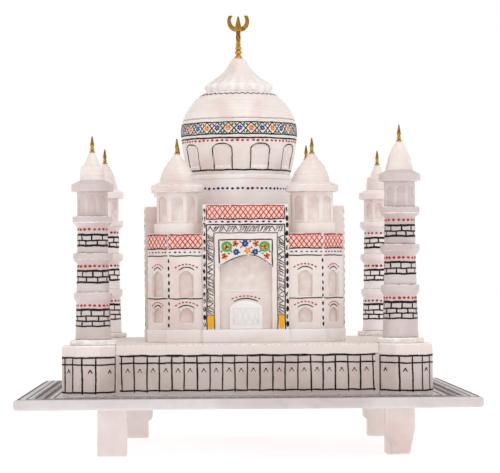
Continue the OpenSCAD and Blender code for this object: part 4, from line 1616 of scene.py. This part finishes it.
    def _lines(self, brush: Brushwork, canvas: RoundCanvas) -> None:
        """Draws the dome's rings of lines and dots."""
        for ink, z, width, load in ((Pigment.SEPIA, 192.9, 0.45, 0.6), (Pigment.BLACK, 190.3, 0.7, 0.8),
                                    (Pigment.BLACK, 183.5, 0.8, 0.85), (Pigment.BLACK, 181.2, 0.9, 0.95),
                                    (Pigment.BLACK, 162.6, 0.9, 0.9)):
            self._ring(brush, canvas, ink, z, width, load)
        brush.dash_row(canvas, Pigment.RED, (0, 179.7), (canvas.girth, 179.7), 3.1, 2.0, 1.2, 1.0)
        count = 80
        step = canvas.girth / count
        crest = [(step * i, self.top - 1.4 + (0.35 if i % 2 else -0.35)) for i in range(count + 1)]
        for start in range(0, count, 5):
            brush.stroke(canvas, Pigment.UMBER, crest[start:start + 6], 0.6, 0.85, 0.2, 0.04)

    def _diamonds(self, brush: Brushwork, canvas: RoundCanvas) -> None:
        """Paints the flowered diamonds round the dome."""
        low, high = self.diamond_band
        pitch = canvas.girth / self.diamonds
        middle = (low + high) / 2
        for i in range(self.diamonds):
            u = pitch * i
            for start, end in (((u, low - 0.4), (u + pitch, high)), ((u, high), (u + pitch, low - 0.3))):
                brush.stroke(canvas, Pigment.BLACK, [start, end], 0.6, 1.0, 0.15, 0.05)
            petal, heart = (Pigment.ORANGE, Pigment.YELLOW) if i % 2 else (Pigment.BLUE, Pigment.PALE_BLUE)
            brush.flower(canvas, petal, heart, u, middle, 1.75, 6)
            if i % 2:
                brush.dab(canvas, Pigment.CRIMSON, u + 0.5, middle + 0.5, 0.9, 0.8, load=0.9, points=6,
                          coat=2)
            for v, way in ((low + 1.2, 1), (high - 1.2, -1)):
                for lean in (-35, 35):
                    brush.dab(canvas, Pigment.GREEN, u + pitch / 2 + 0.025 * lean, v, 2.1, 1.1,
                              90 - way * lean, 0.9, 6)

    def _windows(self, brush: Brushwork, canvas: RoundCanvas) -> None:
        """Outlines the dome's window panels."""
        half = self.window_half + 0.35
        for i in range(self.windows):
            u = canvas.girth * (i + 0.5) / self.windows + canvas.radius * self.window_shift
            for way in (-1, 1):
                brush.stroke(canvas, Pigment.BLACK, [(u + way * half, self.window_foot - 0.4),
                                                     (u + way * half, self.window_spring)], 0.75, 0.72, 0.15,
                                                     0.12)
            arch = [
                (u + half * s, self.window_spring + (self.window_top + 0.3 - self.window_spring)
                 * (1 - abs(s) ** self.arch_power) ** 0.6)
                for s in (-1, -0.96, -0.82, -0.55, -0.25, 0, 0.25, 0.55, 0.82, 0.96, 1)
            ]
            brush.stroke(canvas, Pigment.BLACK, arch, 0.7, 0.72, 0.1, 0.06)


@dataclass(frozen=True)
class SmallDome:
    """The outline of a small turned dome, between the ring it stands on and its spindle.

    The shape lists (share of the height, share of the radius) from the foot up, and the
    grooves are shares of the height.
    """

    radius: float
    foot: float
    crown: float
    shape: tuple[Point, ...]
    grooves: tuple[float, ...]
    depth: float = 0.35

    def skin(self) -> list[Point]:
        """The dome's profile from its rim to the flat under the spindle."""
        points = []
        for i in range(41):
            share = i / 40
            reach = self.radius * self._share_of_radius(share)
            reach -= self.depth * sum(math.exp(-((share - groove) * 26) ** 2) for groove in self.grooves)
            points.append((max(reach, 1.0), self.foot + (self.crown - self.foot) * share))
        return points

    def _share_of_radius(self, share: float) -> float:
        """Reads the shape at a share of the height."""
        for (low, start), (high, end) in zip(self.shape, self.shape[1:]):
            if share <= high:
                return start + (end - start) * (share - low) / (high - low)
        return self.shape[-1][1]


KIOSK_CONE = ((0.0, 1.0), (0.2, 0.96), (0.4, 0.84), (0.6, 0.66), (0.8, 0.42), (0.95, 0.22), (1.0, 0.15))
STEPPED_DOME = ((0.0, 0.93), (0.3, 0.92), (0.5, 0.83), (0.55, 0.64), (0.75, 0.44), (0.97, 0.24), (1.0, 0.18))
BELL_DOME = ((0.0, 1.04), (0.25, 0.94), (0.45, 0.84), (0.64, 0.68), (0.82, 0.46), (0.97, 0.27), (1.0, 0.18))


def spindle(brass: bpy.types.Material, name: str, body: str, places: list[tuple[float, float, float]],
            height: float, nodes: list[str]) -> None:
    """Turns small brass spindles: a golden foot, a bead, a waist and a browner point.

    Args:
        brass: The brass.
        name: The piece's name.
        body: The CAD body that it rides on.
        places: X, Y and seat height of each spindle.
        height: From the seat to the point.
        nodes: The CAD nodes that it stands for.
    """
    profile = [(0, -4.7), (0.68, -4.7), (0.68, 0.0), (1.65, 0.0), (1.75, 0.35), (1.2, 0.9), (0.85, 1.3),
               (1.15, 1.7), (1.2, 2.05), (0.9, 2.5), (0.85, 3.1), (1.08, 3.9), (1.08, 4.7), (0.9, 5.6),
               (0.72, 6.8), (0.56, 7.8), (0.32, height - 0.3), (0, height)]
    whole = bmesh.new()
    for x, y, seat in places:
        part = turned([(r, z + seat) for r, z in profile], (x, y), 20, 0.7)
        data = bpy.data.meshes.new("part")
        part.to_mesh(data)
        part.free()
        whole.from_mesh(data)
        bpy.data.meshes.remove(data)
    mark_edges(whole, 25, 60)
    tarnish = whole.verts.layers.float.new("tarnish")
    for vert in whole.verts:
        seat = min(places, key=lambda place: (place[0] - vert.co.x) ** 2 + (place[1] - vert.co.y) ** 2)[2]
        vert[tarnish] = 0.25 + 0.35 * eased_step(vert.co.z - seat, 1.0, 6.0)
    STONE.set_down(whole, name, body, brass, nodes, 50)


@dataclass
class RoofKiosks:
    """The four domed kiosks round the drum."""

    eave_r: float = 15.2
    dome_r: float = 10.2
    eave_h: float = 6.0
    grooves: tuple[float, ...] = (0.22, 0.42, 0.62, 0.8)

    def carve(self) -> None:
        """Works the kiosks' bodies, roofs and spindles."""
        hewn_marble, turned_marble = FINISHES.marble(MARBLE_HEWN), FINISHES.marble(MARBLE_TURNED)
        seats = []
        for i, corner in enumerate(Corner):
            node = f"roof_kiosk_{corner.label}"
            body = hewn(node, 0.35, 1.5, 3)
            mark_edges(body, 18, 42)
            chip(body, 0.4, 0.5, 23.0 + i)
            STONE.set_down(body, f"kiosk_{corner.label}", "root", hewn_marble, [node], 30)
            roof = f"kiosk_dome_{corner.label}"
            box = Extent.of(roof)
            centre = (box.middle.x, box.middle.y)
            small = SmallDome(self.dome_r, box.low.z + self.eave_h, box.high.z, KIOSK_CONE, self.grooves)
            profile = [(0, box.low.z), (self.eave_r, box.low.z),
                       (self.eave_r, box.low.z + 0.66 * self.eave_h),
                       *small.skin(), (0.75, box.high.z), (0.75, box.high.z - 4.7), (0, box.high.z - 4.7)]
            dome = turned(eased(profile, 0.5), centre, 64, 1.6)
            mark_edges(dome)
            roughen(dome, 0.16, 0.2, 25.0 + i)
            chip(dome, 0.8, 0.5, 25.0 + i, -0.05)
            STONE.set_down(dome, f"kiosk_roof_{corner.label}", "root", turned_marble, [roof], 45)
            seats.append((*centre, box.high.z))
        height = Extent.of("kiosk_finials").high.z - seats[0][2]
        spindle(FINISHES.brass(), "kiosk_spindles", "root", seats, height, ["kiosk_finials"])


@dataclass(frozen=True)
class Tier:
    """One shaft of a minaret with its balcony: its radii, and its painted lines under the balcony."""

    label: str
    foot_r: float
    neck_r: float
    rim_r: float
    peg_r: float
    peg_h: float
    lines: tuple[tuple[float, float], ...]


TIERS = (
    Tier("lower", 10.1, 9.3, 10.7, 4.0, 12.0, ((3.7, 1.1), (7.3, 0.7), (10.0, 0.7), (12.8, 0.7))),
    Tier("middle", 9.2, 8.7, 11.0, 2.5, 3.0, ((4.0, 1.0), (7.4, 0.7), (10.4, 0.9))),
    Tier("upper", 8.7, 8.5, 11.1, 2.5, 3.0, ((4.4, 1.0), (7.6, 0.7), (10.4, 1.0))),
)


@dataclass
class Minaret:
    """One corner minaret: three tiers, a lantern, a dome and a spindle, which lift off together."""

    corner: Corner
    seed: int
    dome_shape: tuple[Point, ...] = BELL_DOME
    grooves: tuple[float, ...] = (0.28, 0.64)

    BALCONY = 5.9
    DOME_R = 7.5

    def __post_init__(self) -> None:
        """Reads the minaret's place and stretch from the frame."""
        self.label = self.corner.label
        self.body = f"minaret_{self.label}"
        middle = Extent.of(f"minaret_middle_{self.label}")
        self.centre = (middle.middle.x, middle.middle.y)
        self.stretch = (middle.size.z - 3.0) / 21.9

    def carve(self) -> None:
        """Turns the tiers and the dome, and works the lantern."""
        near = self.corner.value[1] < 0
        # Front minarets take the darker shaded copy of the marble and back ones the pale lit copy: painted
        # shade and painted light.
        marble = FINISHES.marble(MARBLE_SHADED_MINARET if near else MARBLE_LIT_PALE)
        for i, tier in enumerate(TIERS):
            self._carve_tier(tier, marble, self.seed + i)
        node = f"minaret_lantern_{self.label}"
        lantern = hewn(node, 0.28, 1.2, 3)
        mark_edges(lantern, 18, 42)
        chip(lantern, 0.4, 0.6, self.seed, 0.0)
        STONE.set_down(lantern, f"lantern_{self.label}", self.body, marble, [node], 32)
        self._carve_dome(FINISHES.marble(MARBLE_TURNED))

    def _carve_tier(self, tier: Tier, marble: bpy.types.Material, seed: float) -> None:
        """Turns one shaft with its balcony, its peg and the socket in its top."""
        node = f"minaret_{tier.label}_{self.label}"
        box = Extent.of(node)
        foot, top = box.low.z + tier.peg_h, box.high.z
        rim_h = self.BALCONY * self.stretch
        neck = top - rim_h
        socket_r, socket_z = 2.6, top - 4
        profile = [(0, box.low.z), (tier.peg_r, box.low.z), (tier.peg_r, foot), (tier.foot_r, foot),
                   (tier.neck_r, neck), (tier.rim_r, neck + 0.4 * rim_h), (tier.rim_r, top), (socket_r, top),
                   (socket_r, socket_z), (0, socket_z)]
        shaft = turned(eased(profile, 0.45), self.centre, 72, 1.5)
        mark_edges(shaft)
        roughen(shaft, 0.14, 0.22, seed)
        chip(shaft, 1.1, 0.55, seed * 1.7, -0.05)
        STONE.set_down(shaft, f"shaft_{tier.label}_{self.label}", self.body, marble, [node], 45)

    def _carve_dome(self, marble: bpy.types.Material) -> None:
        """Turns the dome, and sets the brass spindle on it."""
        node = f"minaret_dome_{self.label}"
        box = Extent.of(node)
        small = SmallDome(self.DOME_R, box.low.z, box.high.z, self.dome_shape, self.grooves)
        profile = [(0, box.low.z), *small.skin(), (0.75, box.high.z), (0.75, box.high.z - 4.7),
                   (0, box.high.z - 4.7)]
        dome = turned(eased(profile, 0.3), self.centre, 56, 1.4)
        mark_edges(dome)
        roughen(dome, 0.12, 0.25, self.seed + 0.5)
        STONE.set_down(dome, f"crown_{self.label}", self.body, marble, [node], 45)
        tip = f"minaret_finial_{self.label}"
        spindle(FINISHES.brass(), f"spindle_{self.label}", self.body, [(*self.centre, box.high.z)],
                Extent.of(tip).high.z - box.high.z, [tip])

    def paint(self) -> None:
        """Paints the dots, rings and bricks under each balcony."""
        brush = Brushwork(self.body, self.body, 60 + self.seed)
        for tier in TIERS:
            surface = STONE.surfaces[f"shaft_{tier.label}_{self.label}"]
            canvas = RoundCanvas(*self.centre, tier.neck_r, surface, 1.5)
            top = Extent.of(f"minaret_{tier.label}_{self.label}").high.z - self.BALCONY * self.stretch
            brush.dash_row(canvas, Pigment.RED, (0, top - 1.4), (canvas.girth, top - 1.4), 2.8, 1.95, 1.5,
                           1.0)
            for below, width in tier.lines:
                half = canvas.girth / 2
                for start in (0.0, half):
                    brush.stroke(canvas, Pigment.BLACK,
                                 [(start - 0.5, top - below), (start + half + 0.5, top - below)],
                                 width * 1.25, 1.0, 0.1, 0.14)
            for row, ((above, _), (below, _)) in enumerate(zip(tier.lines, tier.lines[1:])):
                bricks = 9
                for i in range(bricks):
                    u = canvas.girth * (i + (0.5 if row % 2 else 0.0) + brush.hand.uniform(-0.08,
                                                                                           0.08)) / bricks
                    brush.stroke(canvas, Pigment.BLACK,
                                 [(u, top - below), (u + brush.hand.gauss(0, 0.2), top - above)],
                                 brush.hand.uniform(0.75, 1.0), 1.0, 0.15, 0.07)
        brush.dry()


@dataclass
class MainFinial:
    """The cast brass stem and crescent on the lotus cap."""

    core_r: float = 1.25

    def carve(self) -> None:
        """Turns the beaded stem, twists its neck, and eases the crescent."""
        brass = FINISHES.brass()
        box = Extent.of("finial_stem")
        seat = Extent.of("lotus_cap").high.z
        profile = [(0, box.low.z), (1.4, box.low.z), (1.4, seat), (2.55, seat), (2.35, seat + 0.9),
                   (1.6, seat + 1.6),
                   (self.core_r, seat + 2.2)]
        for height, radius in ((3.5, 0.95), (6.1, 0.72), (8.6, 0.3)):
            for angle in range(-80, 81, 20):
                turn = math.radians(angle)
                profile.append((self.core_r + radius * math.cos(turn),
                                seat + height + radius * math.sin(turn)))
        profile += [(1.2, seat + 9.4), (1.45, seat + 9.8), (1.45, box.high.z - 0.4), (1.0, box.high.z),
                    (0, box.high.z)]
        stem = turned(profile, (0, 0), 32, 0.5)
        mark_edges(stem, 25, 60)
        tarnish = stem.verts.layers.float.new("tarnish")
        for vert in stem.verts:
            rise = vert.co.z - seat
            vert[tarnish] = 0.15 + 0.35 * eased_step(rise, 9, 14)
            if rise > 9.7 and math.hypot(vert.co.x, vert.co.y) > 1.2:
                angle = math.atan2(vert.co.y, vert.co.x)
                rib = 0.5 + 0.5 * math.cos(4 * angle + 1.5 * rise)
                vert.co.x *= 0.82 + 0.18 * rib
                vert.co.y *= 0.82 + 0.18 * rib
                vert[tarnish] += 0.4 * (1 - rib)
        bmesh.ops.translate(stem, verts=stem.verts, vec=(box.middle.x, box.middle.y, 0))
        STONE.set_down(stem, "finial_stem_turned", "finial", brass, ["finial_stem"], 60)
        crescent = hewn("finial_crescent", 0.42, 0.8, 3)
        mark_edges(crescent)
        tarnish = crescent.verts.layers.float.new("tarnish")
        for vert in crescent.verts:
            vert[tarnish] = 0.55
        STONE.set_down(crescent, "finial_crescent_cast", "finial", brass, ["finial_crescent"], 50)


@dataclass
class Studio:
    """The pale floor, the soft lights and the camera."""

    lens: float = 173.47
    camera_place: tuple[float, float, float] = (-0.02376, -1.4349, 0.0988)
    pitch: float = 0.0176
    yaw: float = 0.0191
    roll: float = 0.0072

    def build(self) -> None:
        """Sets up everything round the object."""
        self._floor()
        self._world()
        self._light("key", (0.4, -0.8, 1.6), 0.9, 7.4, (1.0, 0.985, 0.965))
        self._light("rim_left", (-1.3, -0.4, 0.9), 0.9, 1.5, (1.0, 0.98, 0.97))
        self._camera()
        bpy.context.scene.view_settings.view_transform = "Standard"

    def _floor(self) -> None:
        """Lays a wide pale floor."""
        floor = bmesh.new()
        bmesh.ops.create_grid(floor, x_segments=8, y_segments=8, size=12)
        data = bpy.data.meshes.new("floor")
        floor.to_mesh(data)
        floor.free()
        material = bpy.data.materials.new("pale_floor")
        material.use_nodes = True
        shader = material.node_tree.nodes["Principled BSDF"]
        shader.inputs["Base Color"].default_value = (0.86, 0.86, 0.86, 1)
        shader.inputs["Roughness"].default_value = 0.8
        shader.inputs["Emission Color"].default_value = (1, 1, 1, 1)
        shader.inputs["Emission Strength"].default_value = 0.5
        data.materials.append(material)
        piece = bpy.data.objects.new("floor", data)
        bpy.context.scene.collection.objects.link(piece)

    def _world(self) -> None:
        """Fills the world with even white, a little dimmer as light than as a background."""
        world = bpy.data.worlds.new("white_studio")
        bpy.context.scene.world = world
        world.use_nodes = True
        world.node_tree.nodes.clear()
        graph = Graph(world.node_tree)
        seen = graph.node("ShaderNodeBackground", {"Color": (1, 1, 1, 1), "Strength": 1.0})
        cast = graph.node("ShaderNodeBackground", {"Color": (1.0, 0.985, 0.98, 1), "Strength": 0.73})
        path = graph.node("ShaderNodeLightPath")
        both = graph.node("ShaderNodeMixShader", {0: path.outputs["Is Camera Ray"], 1: cast.outputs[0],
                                                  2: seen.outputs[0]})
        graph.node("ShaderNodeOutputWorld", {"Surface": both.outputs[0]})

    def _light(self, name: str, place: tuple[float, float, float], size: float, power: float,
               colour: tuple[float, float, float]) -> None:
        """Hangs a square soft light that faces the object."""
        data = bpy.data.lights.new(name, "AREA")
        data.size = size
        data.energy = power
        data.color = colour
        lamp = bpy.data.objects.new(name, data)
        lamp.location = place
        lamp.rotation_mode = "QUATERNION"
        lamp.rotation_quaternion = (Vector((0, 0, 0.11)) - Vector(place)).to_track_quat("-Z", "Y")
        bpy.context.scene.collection.objects.link(lamp)

    def _camera(self) -> None:
        """Sets the camera at eye level in front, a little left of the middle."""
        data = bpy.data.cameras.new("camera")
        data.lens = self.lens
        data.sensor_width = 36.0
        data.clip_start, data.clip_end = 0.05, 60.0
        camera = bpy.data.objects.new("camera", data)
        flat_right = Vector((math.cos(self.yaw), -math.sin(self.yaw), 0))
        forward = Vector((math.sin(self.yaw) * math.cos(self.pitch),
                          math.cos(self.yaw) * math.cos(self.pitch),
                          math.sin(self.pitch)))
        above = flat_right.cross(forward)
        right = math.cos(self.roll) * flat_right - math.sin(self.roll) * above
        up = math.sin(self.roll) * flat_right + math.cos(self.roll) * above
        turn = Matrix((right, up, -forward)).transposed()
        camera.matrix_world = Matrix.Translation(self.camera_place) @ turn.to_4x4()
        bpy.context.scene.collection.objects.link(camera)
        bpy.context.scene.camera = camera


def main() -> None:
    """Builds every sub-assembly in order, then paints it."""
    logging.basicConfig(level=logging.INFO, format="%(name)s: %(message)s")
    Studio().build()
    minarets = [
        Minaret(Corner.FRONT_LEFT, 1, STEPPED_DOME, (0.14, 0.3)),
        Minaret(Corner.FRONT_RIGHT, 2, BELL_DOME, (0.28, 0.64)),
        Minaret(Corner.BACK_LEFT, 3, BELL_DOME, (0.4, 0.68)),
        Minaret(Corner.BACK_RIGHT, 4, STEPPED_DOME, (0.35, 0.6)),
    ]
    carved = [Stand(), Terrace(), Building(), Dome(), *minarets]
    for part in carved:
        part.carve()
        part.paint()
    RoofKiosks().carve()
    MainFinial().carve()


if __name__ == "__main__":
    main()
